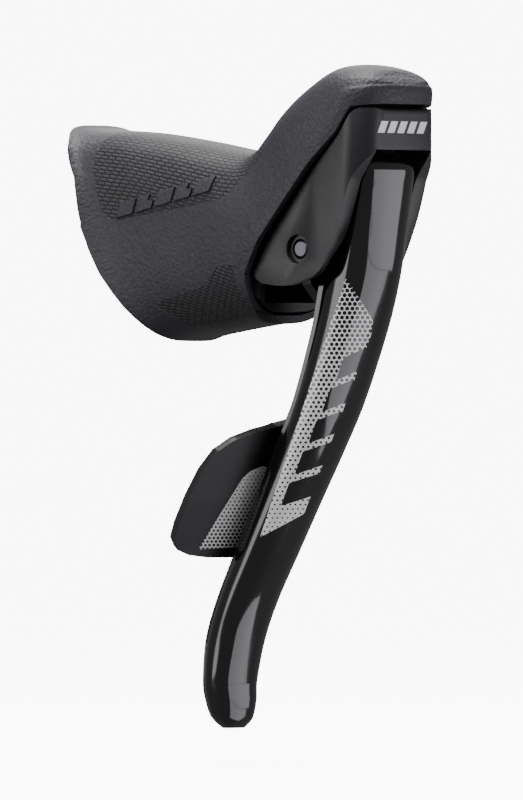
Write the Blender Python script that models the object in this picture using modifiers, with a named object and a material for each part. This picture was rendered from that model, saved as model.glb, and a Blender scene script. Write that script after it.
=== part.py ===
"""Left-hand brake and shift lever for a drop handlebar.

X points forward, Y to the rider's left (outboard) and Z up. The origin is the middle of the handlebar
inside the clamp band. Sizes are in metres.
"""

import math

import bmesh
import bpy
from mathutils import Matrix, Vector

# Handlebar clamp
BAR_DIAMETER = 0.0238
BAR_TILT = math.radians(28)
SEAT_CLEARANCE = 0.0003
BAND_THICKNESS = 0.0010
BAND_WIDTH = 0.0100
BAND_LEG = 0.0195
BAND_HOOK = 0.0030
BAND_LEG_PLAY = 0.0004
CLAMP_BOLT_DIAMETER = 0.0050
CLAMP_HEAD_DIAMETER = 0.0068
CLAMP_HEAD_HEIGHT = 0.0040
CLAMP_SEAT_WALL = 0.0026
HEX_KEY = 0.0030

# Rubber hood: top and bottom of each section in X and Z, and how far its side stands beyond the wings
HOOD_SECTIONS = (
    (-0.0130, 0.0258, 0.0220, -0.0290, 0.0048),
    (-0.0085, 0.0247, 0.0262, -0.0278, 0.0030),
    (0.0070, 0.0236, 0.0360, -0.0262, 0.0024),
    (0.0240, 0.0213, 0.0450, -0.0250, 0.0023),
    (0.0400, 0.0187, 0.0560, -0.0237, 0.0029),
    (0.0470, 0.0189, 0.0670, -0.0170, 0.0030),
    (0.0518, 0.0237, 0.0760, -0.0060, 0.0027),
    (0.0562, 0.0287, 0.0825, 0.0060, 0.0024),
    (0.0626, 0.0337, 0.0885, 0.0170, 0.0016),
    (0.0720, 0.0387, 0.0916, 0.0262, 0.0003),
    (0.0800, 0.0396, 0.0921, 0.0310, -0.0017),
    (0.0858, 0.0384, 0.0918, 0.0340, -0.0052),
)
HOOD_SIDES = 32
HOOD_SQUARENESS = 3.4
HOOD_WALL = 0.0020
HOOD_FIT = 0.0003
NOSE_SHARE = 0.9
HOOD_GAP = 0.0013
BAND_SIDE_ROOM = 0.0014

# Bracket inside the hood
BRACKET_REAR = 0.0040
BRACKET_FRONT = 0.0533
CAVITY_REAR = 0.0280
CAVITY_SIDE_ROOM = 0.00105
CAVITY_TOP = 0.0092
CAVITY_FLOOR = -0.0195
CHEEK_THICKNESS = 0.0021
CHEEK_RADIUS = 0.0062
RUNNING_GAP = 0.0005

# Brake lever yoke: its wings and cap seen from the side
BRAKE_PIVOT = (0.0680, -0.00625)
YOKE_REAR_EDGE = (
    (0.0530, -0.01275),
    (0.0579, -0.00475),
    (0.0660, 0.0050),
    (0.0742, 0.0146),
    (0.0820, 0.0222),
    (0.0858, 0.0283),
    (0.0910, 0.0288),
)
YOKE_FRONT_EDGE = ((0.0906, 0.01825), (0.0853, 0.0110), (0.0820, 0.0010), (0.0789, -0.0060))
YOKE_BOTTOM_EDGE = ((0.0755, -0.0124), (0.0643, -0.01575), (0.0560, -0.0147))
WING_THICKNESS = 0.0019
CAP_CORNER_RADIUS = 0.0080
CAP_WALL = 0.0022
FLANGE_REAR = 0.0775
WINDOW_HALF_WIDTH = 0.01025
PIN_HOLE_DIAMETER = 0.0072
PIN_DIAMETER = 0.0048
PIN_RECESS = 0.0012

# Brake blade. The head is set by the yoke, and the lever below it by its own length
BLADE_HEAD = (
    (0.0163, 0.0866, 0.0810, 0.0086),
    (0.0140, 0.0880, 0.0795, 0.0094),
    (0.0080, 0.0875, 0.0770, 0.0096),
    (-0.0020, 0.0860, 0.0740, 0.0096),
    (-0.0138, 0.0841, 0.0693, 0.0096),
)
LEVER_TOP = -0.0138
LEVER_LENGTH = 0.1122
# Each row: share of the length, forward place of the front, depth, half width
LEVER_ROWS = (
    (0.112, 0.0800, 0.0135, 0.0096),
    (0.268, 0.0726, 0.0121, 0.0093),
    (0.379, 0.0659, 0.0119, 0.0090),
    (0.490, 0.0585, 0.0109, 0.0087),
    (0.602, 0.0511, 0.0101, 0.0083),
    (0.713, 0.0437, 0.0091, 0.0078),
    (0.802, 0.0397, 0.0090, 0.0073),
    (0.891, 0.0371, 0.0076, 0.0070),
    (0.938, 0.0373, 0.0074, 0.0066),
    (0.978, 0.0368, 0.0060, 0.0053),
    (1.000, 0.0356, 0.0032, 0.0030),
)
BLADE_WALL = 0.0016
BLADE_SOLID_TIP = 0.82
BLADE_SIDES = 24
BLADE_SQUARENESS = 3.0
BLADE_PIN = (0.0806, 0.0050)
BLADE_PIN_DIAMETER = 0.0030
ANCHOR_CENTRE = (0.0814, 0.0112)
ANCHOR_DIAMETER = 0.0056
ANCHOR_JOURNAL = 0.0034
FIT = 0.00015

# Shift mechanism on its shaft, which runs along X
SHAFT_HEIGHT = -0.0010
SHAFT_DIAMETER = 0.0040
SHAFT_SEAT = 0.0030
SPOOL_REAR = 0.0330
SPOOL_LENGTH = 0.0115
SPOOL_DIAMETER = 0.0160
SPOOL_GROOVE_DIAMETER = 0.0126
WHEEL_REAR = 0.0455
WHEEL_THICKNESS = 0.0028
WHEEL_ROOT = 0.0061
TOOTH_HEIGHT = 0.0013
TEETH = 15
TOOTH_WALL_ANGLE = math.radians(-112)
PAWL_ANGLE = -60.14
PAWL_BEYOND_TEETH = 0.00505
PAWL_PIN_DIAMETER = 0.0024
PAWL_BOSS = 0.0024
DRIVE_PAWL_ANGLE = 150
DRIVE_PAWL_BEYOND_TEETH = 0.0012
DRIVE_PAWL_BOSS = 0.0017
DRIVE_STUD_DIAMETER = 0.0014
CARRIER_REAR = 0.0500
CARRIER_DISC = 0.0030
CARRIER_RADIUS = 0.0082
HUB_LENGTH = 0.0060
HUB_RADIUS = 0.0040
CLIP_RADIUS = 0.0034
CLIP_THICKNESS = 0.0009
EAR_INNER = 0.0062
EAR_THICKNESS = 0.0018
EAR_HALF_HEIGHT = 0.0034
PADDLE_AXIS = (0.0612, -0.0010)
PADDLE_PIN_DIAMETER = 0.0026
WIRE_DIAMETER = 0.0010
SPRING_START = 0.0025
SPRING_ROOM = 0.0007

# Shift paddle and its arm
ARM_PATH = (
    (0.0614, -0.0080),
    (0.0624, -0.0150),
    (0.0643, -0.0215),
    (0.0642, -0.0260),
    (0.0617, -0.0310),
    (0.0585, -0.0360),
    (0.0552, -0.0410),
)
ARM_END = -0.0630
ARM_DEPTH = 0.0030
ARM_EYE_RADIUS = 0.0029
# Width of the arm seen from the front: inner edge, and outer edge, each as Y and Z going down
ARM_INNER_EDGE = ((-0.0048, 0.0040), (-0.0048, -0.0150), (0.0002, -0.0220), (0.0018, -0.0320))
ARM_OUTER_EDGE = ((0.0054, 0.0040), (0.0054, -0.0150), (0.0066, -0.0220))
ARM_SEAT_GAP = 0.0003
PADDLE_GAP = 0.0022
PADDLE_TOP = -0.0495
PADDLE_BOTTOM = -0.0832
PADDLE_THICKNESS = 0.0022
PADDLE_OUTER_EDGE = 0.0074
PADDLE_RAKE = 0.0058
PADDLE_RAKE_START = -0.0070
# Inner edge of the paddle: share of its height from the top, and Y
PADDLE_INNER_EDGE = (
    (0.00, -0.0060),
    (0.035, -0.0105),
    (0.07, -0.0150),
    (0.13, -0.0198),
    (0.22, -0.0228),
    (0.36, -0.0243),
    (0.55, -0.0250),
    (0.75, -0.0252),
    (0.87, -0.0246),
    (0.94, -0.0225),
    (0.98, -0.0190),
    (1.00, -0.0140),
)

# Cable ports
BRAKE_HOUSING_DIAMETER = 0.0050
SHIFT_HOUSING_DIAMETER = 0.0045
HOUSING_FIT = 0.0003
CABLE_HOLE = 0.0022
STOP_LENGTH = 0.0032
BRAKE_PORT_FRONT = (0.0720, 0.0, 0.0118)
BRAKE_PORT_REAR = (0.0100, 0.0085, 0.0150)
BRAKE_STOP_DEPTH = 0.0080
SHIFT_PORT = (0.0240, -0.0082, -0.0140)

# Worked out from the sizes above
BAR_RADIUS = BAR_DIAMETER / 2
BAND_OUTER = BAR_RADIUS + SEAT_CLEARANCE / 2 + BAND_THICKNESS
WHEEL_OUTER = WHEEL_ROOT + TOOTH_HEIGHT
DRIVE_PAWL_DISTANCE = WHEEL_OUTER + DRIVE_PAWL_BEYOND_TEETH
DRIVE_PAWL_REACH = DRIVE_PAWL_BOSS - DRIVE_PAWL_DISTANCE * math.cos(math.radians(DRIVE_PAWL_ANGLE))
CAVITY_HALF_WIDTH = max(DRIVE_PAWL_REACH, SPOOL_DIAMETER / 2, CARRIER_RADIUS) + CAVITY_SIDE_ROOM
CHEEK_INNER = CAVITY_HALF_WIDTH
CHEEK_OUTER = CHEEK_INNER + CHEEK_THICKNESS
WING_INNER = CHEEK_OUTER + RUNNING_GAP
WING_OUTER = WING_INNER + WING_THICKNESS
BODY_HALF_WIDTH = max(WING_OUTER, BAND_OUTER + BAND_SIDE_ROOM)
PIN_RADIUS = PIN_DIAMETER / 2
SHAFT_RADIUS = SHAFT_DIAMETER / 2

BAR_FRAME = Matrix.Rotation(-BAR_TILT, 4, "Y")
SIDE_VIEW = Matrix(((1, 0, 0, 0), (0, 0, -1, 0), (0, 1, 0, 0), (0, 0, 0, 1)))
FRONT_VIEW = Matrix(((0, 0, 1, 0), (1, 0, 0, 0), (0, 1, 0, 0), (0, 0, 0, 1)))
ALONG_X = Matrix.Rotation(math.pi / 2, 4, "Y")
ALONG_Y = Matrix.Rotation(-math.pi / 2, 4, "X")


# Scene, collections and materials


def clear_scene():
    for obj in list(bpy.data.objects):
        bpy.data.objects.remove(obj)


def new_collection(name):
    collection = bpy.data.collections.new(name)
    bpy.context.scene.collection.children.link(collection)
    return collection


def material(name, colour, roughness, metallic=0.0):
    made = bpy.data.materials.new(name)
    made.use_nodes = True
    shader = made.node_tree.nodes["Principled BSDF"]
    shader.inputs["Base Color"].default_value = (*colour, 1)
    shader.inputs["Roughness"].default_value = roughness
    shader.inputs["Metallic"].default_value = metallic
    return made


def finish(obj, look):
    """Gives the object its own copy of a material, named after the object."""
    own = look.copy()
    own.name = obj.name
    obj.data.materials.clear()
    obj.data.materials.append(own)
    return obj


clear_scene()
PARTS = new_collection("brake_shift_lever")
CUTTERS = new_collection("cutters")
RUBBER = material("rubber", (0.035, 0.032, 0.040), 0.75)
SATIN_BLACK = material("satin_black", (0.030, 0.030, 0.033), 0.45)
GLOSS_BLACK = material("gloss_black", (0.010, 0.010, 0.011), 0.12)
GREY_RESIN = material("grey_resin", (0.110, 0.110, 0.115), 0.55)
STEEL = material("steel", (0.520, 0.520, 0.530), 0.32, 1.0)
DARK_STEEL = material("dark_steel", (0.180, 0.180, 0.190), 0.40, 1.0)
BRASS = material("brass", (0.620, 0.480, 0.220), 0.35, 1.0)
WHITE_RESIN = material("white_resin", (0.700, 0.690, 0.650), 0.50)


# Shape helpers


def mesh_object(name, bm, collection):
    mesh = bpy.data.meshes.new(name)
    bmesh.ops.recalc_face_normals(bm, faces=bm.faces)
    bm.to_mesh(mesh)
    bm.free()
    obj = bpy.data.objects.new(name, mesh)
    collection.objects.link(obj)
    return obj


def as_cutter(obj):
    obj.hide_render = True
    obj.display_type = "WIRE"
    return obj


def combine(target, other, operation):
    modifier = target.modifiers.new(other.name, "BOOLEAN")
    modifier.operation = operation
    modifier.solver = "EXACT"
    modifier.object = as_cutter(other)
    return target


def cut(target, other):
    return combine(target, other, "DIFFERENCE")


def box(name, low, high, collection=CUTTERS, frame=None):
    """A box between two corners, in the given frame."""
    bm = bmesh.new()
    bmesh.ops.create_cube(bm, size=1)
    size = Vector(high) - Vector(low)
    middle = (Vector(high) + Vector(low)) / 2
    bmesh.ops.scale(bm, vec=size, verts=bm.verts)
    bmesh.ops.translate(bm, vec=middle, verts=bm.verts)
    obj = mesh_object(name, bm, collection)
    obj.matrix_world = frame or Matrix()
    return obj


def rod(name, start, end, radius, collection=CUTTERS, sides=24):
    """A cylinder between two points."""
    start = Vector(start)
    along = Vector(end) - start
    bm = bmesh.new()
    bmesh.ops.create_cone(
        bm, cap_ends=True, segments=sides, radius1=radius, radius2=radius, depth=along.length
    )
    obj = mesh_object(name, bm, collection)
    turn = along.to_track_quat("Z", "Y").to_matrix().to_4x4()
    obj.matrix_world = Matrix.Translation(start + along / 2) @ turn
    return obj


def turned(name, profile, frame, closed=False, collection=PARTS, steps=24):
    """A profile of (radius, height) turned about its frame's Z axis. It runs down its outer side."""
    mesh = bpy.data.meshes.new(name)
    points = [(radius, 0, height) for radius, height in profile]
    edges = [(i, i + 1) for i in range(len(points) - 1)]
    if closed:
        edges.append((len(points) - 1, 0))
    mesh.from_pydata(points, edges, [])
    obj = bpy.data.objects.new(name, mesh)
    collection.objects.link(obj)
    obj.matrix_world = frame
    screw = obj.modifiers.new("turn", "SCREW")
    screw.axis = "Z"
    screw.steps = steps
    screw.render_steps = steps
    screw.use_merge_vertices = True
    screw.merge_threshold = 0.00001
    return obj


def tube_profile(inner, outer, low, high):
    return ((outer, high), (outer, low), (inner, low), (inner, high))


def arc(centre, radius, start, end, count):
    step = (end - start) / (count - 1)
    angles = [start + step * i for i in range(count)]
    return [(centre[0] + radius * math.cos(a), centre[1] + radius * math.sin(a)) for a in angles]


def circle(centre, radius, count=20):
    return arc(centre, radius, 0, 2 * math.pi * (count - 1) / count, count)


def curve_to_mesh(curve, name, collection):
    """The curve's solid as a mesh object with its caps welded on."""
    source = bpy.data.objects.new(name + "_curve", curve)
    bpy.context.scene.collection.objects.link(source)
    graph = bpy.context.evaluated_depsgraph_get()
    mesh = bpy.data.meshes.new_from_object(source.evaluated_get(graph))
    bpy.data.objects.remove(source)
    bm = bmesh.new()
    bm.from_mesh(mesh)
    bmesh.ops.remove_doubles(bm, verts=bm.verts, dist=0.000005)
    bpy.data.meshes.remove(mesh)
    return mesh_object(name, bm, collection)


def plate(name, outlines, thickness, frame, collection=PARTS):
    """Flat outlines, holes among them, thickened to both sides of the frame's XY plane."""
    curve = bpy.data.curves.new(name, "CURVE")
    curve.dimensions = "2D"
    curve.fill_mode = "BOTH"
    curve.extrude = thickness / 2
    for outline in outlines:
        spline = curve.splines.new("POLY")
        spline.points.add(len(outline) - 1)
        for point, place in zip(spline.points, outline):
            point.co = (*place, 0, 1)
        spline.use_cyclic_u = True
    obj = curve_to_mesh(curve, name, collection)
    obj.matrix_world = frame
    return obj


def wire(name, points, diameter):
    """A round wire through the points."""
    curve = bpy.data.curves.new(name, "CURVE")
    curve.dimensions = "3D"
    curve.bevel_depth = diameter / 2
    curve.bevel_resolution = 1
    curve.use_fill_caps = True
    spline = curve.splines.new("POLY")
    spline.points.add(len(points) - 1)
    for point, place in zip(spline.points, points):
        point.co = (*place, 1)
    return curve_to_mesh(curve, name, PARTS)


def coil(name, frame, radius, low, high, turns):
    """A helical spring about its frame's Z axis."""
    count = round(turns * 12) + 1
    points = []
    for i in range(count):
        angle = 2 * math.pi * i / 12
        height = low + (high - low) * i / (count - 1)
        points.append(frame @ Vector((radius * math.cos(angle), radius * math.sin(angle), height)))
    return finish(wire(name, points, WIRE_DIAMETER), DARK_STEEL)


def loft(name, rings, collection):
    """A closed solid through rings with the same number of points."""
    bm = bmesh.new()
    loops = [[bm.verts.new(point) for point in ring] for ring in rings]
    for near, far in zip(loops, loops[1:]):
        for i in range(len(near)):
            j = (i + 1) % len(near)
            bm.faces.new((near[i], near[j], far[j], far[i]))
    bm.faces.new(loops[0])
    bm.faces.new(loops[-1])
    return mesh_object(name, bm, collection)


def superellipse(angle, power):
    across = math.cos(angle)
    up = math.sin(angle)
    return (
        math.copysign(abs(across) ** (2 / power), across),
        math.copysign(abs(up) ** (2 / power), up),
    )


def offset_line(points, gap):
    """The line moved by gap to its left."""
    moved = []
    for i, point in enumerate(points):
        before = Vector(points[max(i - 1, 0)])
        after = Vector(points[min(i + 1, len(points) - 1)])
        along = (after - before).normalized()
        moved.append((point[0] - along.y * gap, point[1] + along.x * gap))
    return moved


def side_frame(y):
    return Matrix.Translation((0, y, 0)) @ SIDE_VIEW


def front_frame(x):
    return Matrix.Translation((x, 0, 0)) @ FRONT_VIEW


def shaft_frame(x):
    """Z along the world's X, at the mechanism shaft."""
    return Matrix.Translation((x, 0, SHAFT_HEIGHT)) @ ALONG_X


def cross_frame(place):
    """Z along the world's Y, through a place given in X and Z."""
    return Matrix.Translation((place[0], 0, place[1])) @ ALONG_Y


# Hood and bracket


def hood_rings(inset):
    """The hood's sections moved in by inset, the last of them also away from the front."""
    rings = []
    for i, (top_x, top_z, bottom_x, bottom_z, beyond_wings) in enumerate(HOOD_SECTIONS):
        top = Vector((top_x, 0, top_z))
        bottom = Vector((bottom_x, 0, bottom_z))
        middle = (top + bottom) / 2
        half = (top - bottom) / 2
        reach = half * (1 - inset / half.length)
        half_width = BODY_HALF_WIDTH + beyond_wings - inset
        if i == len(HOOD_SECTIONS) - 1:
            middle += half.normalized().cross(Vector((0, 1, 0))) * NOSE_SHARE * inset
        ring = []
        for k in range(HOOD_SIDES):
            side, up = superellipse(2 * math.pi * k / HOOD_SIDES, HOOD_SQUARENESS)
            ring.append(middle + reach * up + Vector((0, side * half_width, 0)))
        rings.append(ring)
    return rings


def opening_outline(gap, belly):
    """Side view of what is cut away for the lever, gap behind the yoke and ending at belly."""
    edge = offset_line(YOKE_REAR_EDGE, gap)
    far = edge[-1][0] + 0.03
    low = HOOD_SECTIONS[0][3] - 0.02
    return [(belly, low), (belly, edge[0][1] - 0.0006), *edge, (far, edge[-1][1]), (far, low)]


def make_hood():
    hood = loft("hood", hood_rings(0), PARTS)
    inside = hood_rings(HOOD_WALL)
    behind = [point - Vector((0.004, 0, 0)) for point in inside[0]]
    cut(hood, loft("hood_inside", [behind, *inside], CUTTERS))
    outline = opening_outline(HOOD_GAP, YOKE_REAR_EDGE[0][0] - HOOD_GAP)
    cut(hood, plate("hood_opening", [outline], 0.06, side_frame(0), CUTTERS))
    return finish(hood, RUBBER)


def cheek_outline():
    """Side view of the plates that carry the brake pivot."""
    x, z = BRAKE_PIVOT
    nose = arc(BRAKE_PIVOT, CHEEK_RADIUS, math.radians(-95), math.radians(75), 12)
    rear = BRACKET_FRONT - 0.008
    return [(rear, z - CHEEK_RADIUS - 0.001), *nose, (x - 0.009, z + 0.0092), (rear, z + 0.0092)]


def make_bracket():
    bracket = loft("bracket_body", hood_rings(HOOD_WALL + HOOD_FIT), PARTS)
    clear = HOOD_WALL + HOOD_FIT + 0.02
    outline = opening_outline(HOOD_GAP + 0.0008, BRACKET_FRONT)
    cut(bracket, plate("bracket_opening", [outline], 2 * clear, side_frame(0), CUTTERS))
    spare = 0.0006
    for side in (1, -1):
        frame = side_frame(side * (CHEEK_INNER + CHEEK_OUTER) / 2)
        thick = CHEEK_THICKNESS + 2 * spare
        combine(bracket, plate(f"cheek_{side}", [cheek_outline()], thick, frame, CUTTERS), "UNION")
    cut_mechanism_cavity(bracket)
    cut_wing_pockets(bracket)
    cut_clamp_seat(bracket)
    cut_pin_holes(bracket)
    cut_cable_ports(bracket)
    return finish(bracket, GREY_RESIN)


def cut_mechanism_cavity(bracket):
    front = BRACKET_FRONT + 0.04
    low = (CAVITY_REAR, -CAVITY_HALF_WIDTH, CAVITY_FLOOR)
    cut(bracket, box("mechanism_cavity", low, (front, CAVITY_HALF_WIDTH, CAVITY_TOP)))


def cut_wing_pockets(bracket):
    """The wings' tails swing back beside the cheeks, under the edge of the hood."""
    tail = Vector(YOKE_REAR_EDGE[0]) - Vector(BRAKE_PIVOT)
    rear = BRAKE_PIVOT[0] - tail.length - RUNNING_GAP
    top = BRAKE_PIVOT[1] + 0.0100
    low = HOOD_SECTIONS[0][3]
    outline = [(rear, low), (rear, top - 0.0085), (rear + 0.0075, top), (0.12, top), (0.12, low)]
    depth = 0.010
    for side in (1, -1):
        middle = side * (CHEEK_OUTER + depth / 2)
        cut(bracket, plate(f"wing_pocket_{side}", [outline], depth, side_frame(middle), CUTTERS))


def nut_room():
    """Near and far ends, in front of the bar's middle, of the space for the clamp nut and band hooks."""
    near = BAR_RADIUS + SEAT_CLEARANCE + 0.0024
    return near, BAND_LEG + BAND_THICKNESS + 0.0008


def cut_clamp_seat(bracket):
    reach = 0.06
    half = BAND_WIDTH / 2 + SEAT_CLEARANCE
    leg = BAR_RADIUS + SEAT_CLEARANCE
    near, far = nut_room()
    wrap = math.acos(BRACKET_REAR / leg)
    outline = [(-reach, -reach), (BRACKET_REAR, -reach), *arc((0, 0), leg, -wrap, wrap, 17)]
    outline += [(BRACKET_REAR, reach), (-reach, reach)]
    cut(bracket, plate("bar_seat", [outline], 2.2 * reach, BAR_FRAME, CUTTERS))
    inner = leg - BAND_LEG_PLAY
    room = [(-reach, -reach), (far, -reach), (far, reach), (-reach, reach), (-reach, inner)]
    room += [(near, inner), (near, -inner), (-reach, -inner)]
    cut(bracket, plate("band_and_nut_room", [room], 2 * half, BAR_FRAME, CUTTERS))
    seat = far + CLAMP_SEAT_WALL
    start = BAR_FRAME @ Vector((near - 0.004, 0, 0))
    step = BAR_FRAME @ Vector((seat, 0, 0))
    outer = BAR_FRAME @ Vector((reach, 0, 0))
    cut(bracket, rod("clamp_bolt_hole", start, step, CLAMP_BOLT_DIAMETER / 2 + HOUSING_FIT))
    cut(bracket, rod("clamp_head_hole", step, outer, CLAMP_HEAD_DIAMETER / 2 + HOUSING_FIT))


def polar(angle_degrees, radius):
    angle = math.radians(angle_degrees)
    return (radius * math.cos(angle), radius * math.sin(angle))


def holding_pivot():
    """Place of the holding pawl's pin, as Y and height above the shaft."""
    return polar(PAWL_ANGLE, WHEEL_OUTER + PAWL_BEYOND_TEETH)


def drive_pivot():
    """Place of the drive pawl's stud, as Y and height above the shaft."""
    return polar(DRIVE_PAWL_ANGLE, DRIVE_PAWL_DISTANCE)


def pawl_pivot_height():
    return SHAFT_HEIGHT + holding_pivot()[1]


def cut_pin_holes(bracket):
    x, z = BRAKE_PIVOT
    cut(bracket, rod("pivot_hole", (x, -0.03, z), (x, 0.03, z), PIN_RADIUS + FIT))
    rear = CAVITY_REAR - SHAFT_SEAT - FIT
    front = CAVITY_REAR + 0.001
    start = (rear, 0, SHAFT_HEIGHT)
    cut(bracket, rod("shaft_hole", start, (front, 0, SHAFT_HEIGHT), SHAFT_RADIUS + FIT))
    y, z = holding_pivot()[0], pawl_pivot_height()
    cut(bracket, rod("pawl_pin_hole", (rear, y, z), (front, y, z), PAWL_PIN_DIAMETER / 2 + FIT))


def brake_port_line():
    """The brake cable's line through the bracket: its front end and its direction rearward."""
    front = Vector(BRAKE_PORT_FRONT)
    return front, (Vector(BRAKE_PORT_REAR) - front).normalized()


def cut_cable_ports(bracket):
    front, back = brake_port_line()
    bore = BRAKE_HOUSING_DIAMETER / 2 + HOUSING_FIT
    stop = front + back * BRAKE_STOP_DEPTH
    cut(bracket, rod("brake_housing_bore", stop, front + back * 0.09, bore))
    cut(bracket, rod("brake_cable_hole", front - back * 0.01, stop + back * 0.001, CABLE_HOLE / 2))
    turn = (-back).to_track_quat("X", "Z").to_matrix().to_4x4()
    frame = Matrix.Translation(stop) @ turn
    cut(bracket, box("brake_groove", (-0.09, -bore, 0), (-0.016, bore, 0.02), frame=frame))
    x, y, z = SHIFT_PORT
    bore = SHIFT_HOUSING_DIAMETER / 2 + HOUSING_FIT
    cut(bracket, rod("shift_housing_bore", (x - 0.03, y, z), (x, y, z), bore))
    cut(bracket, rod("shift_cable_hole", (x - 0.001, y, z), (CAVITY_REAR + 0.001, y, z), CABLE_HOLE / 2))


# Handlebar clamp


def make_clamp_band():
    """A steel strap round the back of the bar. Its ends hook over the clamp nut plate."""
    inner = BAR_RADIUS + SEAT_CLEARANCE / 2
    middle = inner + BAND_THICKNESS / 2
    leg = BAND_LEG + BAND_THICKNESS / 2
    hook = middle - BAND_HOOK
    path = [(leg, hook), (leg, middle)]
    path += arc((0, 0), middle, math.pi / 2, math.pi * 3 / 2, 21)
    path += [(leg, -middle), (leg, -hook)]
    bm = bmesh.new()
    low = [bm.verts.new((x, y, -BAND_WIDTH / 2)) for x, y in path]
    high = [bm.verts.new((x, y, BAND_WIDTH / 2)) for x, y in path]
    for i in range(len(path) - 1):
        bm.faces.new((low[i], low[i + 1], high[i + 1], high[i]))
    band = mesh_object("clamp_band", bm, PARTS)
    band.matrix_world = BAR_FRAME
    thick = band.modifiers.new("thickness", "SOLIDIFY")
    thick.thickness = BAND_THICKNESS
    thick.offset = 0
    thick.use_even_offset = True
    return finish(band, STEEL)


def make_clamp_nut_plate():
    near, _ = nut_room()
    half_width = BAR_RADIUS - 0.0006
    low = (near + 0.0012, -half_width, -BAND_WIDTH / 2 + 0.0004)
    high = (BAND_LEG - 0.0003, half_width, BAND_WIDTH / 2 - 0.0004)
    nut = box("clamp_nut_plate", low, high, PARTS, BAR_FRAME)
    start = BAR_FRAME @ Vector((0.005, 0, 0))
    end = BAR_FRAME @ Vector((0.030, 0, 0))
    cut(nut, rod("clamp_thread", start, end, CLAMP_BOLT_DIAMETER / 2 + FIT))
    return finish(nut, STEEL)


def make_clamp_bolt():
    near, far = nut_room()
    seat = far + CLAMP_SEAT_WALL + 0.0003
    shank = CLAMP_BOLT_DIAMETER / 2
    head = CLAMP_HEAD_DIAMETER / 2
    profile = ((0, seat + CLAMP_HEAD_HEIGHT), (head, seat + CLAMP_HEAD_HEIGHT), (head, seat))
    profile += ((shank, seat), (shank, near + 0.0008), (0, near + 0.0008))
    bolt = turned("clamp_bolt", profile, BAR_FRAME @ ALONG_X)
    key = [(HEX_KEY / 2 / math.cos(math.pi / 6) * x, HEX_KEY / 2 / math.cos(math.pi / 6) * y)
           for x, y in circle((0, 0), 1, 6)]
    depth = 0.0025
    place = seat + CLAMP_HEAD_HEIGHT
    frame = BAR_FRAME @ Matrix.Translation((place, 0, 0)) @ FRONT_VIEW
    cut(bolt, plate("clamp_key", [key], 2 * depth, frame, CUTTERS))
    return finish(bolt, STEEL)


# Brake lever


def yoke_outline():
    return [*YOKE_REAR_EDGE, *YOKE_FRONT_EDGE, *YOKE_BOTTOM_EDGE]


def make_yoke():
    """Two wings joined by a cap, which is rounded off to the sides. The blade fills its window."""
    yoke = plate("lever_yoke", [yoke_outline()], 2 * WING_OUTER, side_frame(0))
    front = YOKE_REAR_EDGE[-1][0]
    window_top = YOKE_FRONT_EDGE[0][1]
    radius = CAP_CORNER_RADIUS
    corner = (front - radius, WING_OUTER - radius)
    right = arc((corner[0], -corner[1]), radius, -math.pi / 2, 0, 8)
    left = arc(corner, radius, 0, math.pi / 2, 8)
    plan = [(0.03, -WING_OUTER), *right, *left, (0.03, WING_OUTER)]
    combine(yoke, plate("yoke_plan", [plan], 0.12, Matrix(), CUTTERS), "INTERSECT")
    step = WING_INNER - WINDOW_HALF_WIDTH
    inside = [(0.02, -WING_INNER), (FLANGE_REAR, -WING_INNER), (FLANGE_REAR + step, -WINDOW_HALF_WIDTH)]
    wall = [(front - CAP_WALL, -WINDOW_HALF_WIDTH)]
    through = [(front + 0.02, -WINDOW_HALF_WIDTH)]
    for name, end, low, high in (
        ("yoke_inside", wall, -0.05, YOKE_REAR_EDGE[-1][1] - CAP_WALL),
        ("yoke_window", through, -0.05, window_top),
    ):
        half = inside + end
        outline = half + [(x, -y) for x, y in reversed(half)]
        frame = Matrix.Translation((0, 0, (low + high) / 2))
        cut(yoke, plate(name, [outline], high - low, frame, CUTTERS))
    x, z = BRAKE_PIVOT
    cut(yoke, rod("yoke_pin_hole", (x, -0.03, z), (x, 0.03, z), PIN_HOLE_DIAMETER / 2))
    x, z = BLADE_PIN
    end = WING_INNER + 0.0002
    cut(yoke, rod("yoke_blade_pin_hole", (x, -end, z), (x, end, z), BLADE_PIN_DIAMETER / 2 + FIT))
    return finish(yoke, SATIN_BLACK)


def blade_rows():
    """(height, front, rear, half width) down the whole blade."""
    rows = list(BLADE_HEAD)
    for share, front, depth, half_width in LEVER_ROWS:
        rows.append((LEVER_TOP - share * LEVER_LENGTH, front, front - depth, half_width))
    return rows


def blade_ring(height, front, rear, half_width):
    middle = (front + rear) / 2
    points = []
    for i in range(BLADE_SIDES):
        along, side = superellipse(2 * math.pi * i / BLADE_SIDES, BLADE_SQUARENESS)
        points.append((middle + along * (front - rear) / 2, side * half_width, height))
    return points


def channel_ring(height, front, rear, half_width):
    """Square hollow of the blade, which opens to the rear."""
    inner = half_width - BLADE_WALL
    near = front - BLADE_WALL * 1.1
    corner = 0.0022
    far = rear - 0.004
    return [
        (far, -inner, height),
        (near - corner, -inner, height),
        (near, -inner + corner, height),
        (near, inner - corner, height),
        (near - corner, inner, height),
        (far, inner, height),
    ]


def make_blade():
    rows = blade_rows()
    blade = loft("brake_blade", [blade_ring(*row) for row in rows], PARTS)
    end = LEVER_TOP - BLADE_SOLID_TIP * LEVER_LENGTH
    hollow = [(rows[0][0] - BLADE_WALL, *rows[1][1:])]
    hollow += [row for row in rows[2:] if row[0] > end]
    cut(blade, loft("blade_channel", [channel_ring(*row) for row in hollow], CUTTERS))
    for name, place, diameter in (
        ("blade_pin_bore", BLADE_PIN, BLADE_PIN_DIAMETER),
        ("anchor_bore", ANCHOR_CENTRE, ANCHOR_JOURNAL),
    ):
        x, z = place
        cut(blade, rod(name, (x, -0.02, z), (x, 0.02, z), diameter / 2 + FIT, sides=18))
    return finish(blade, GLOSS_BLACK)


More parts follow.
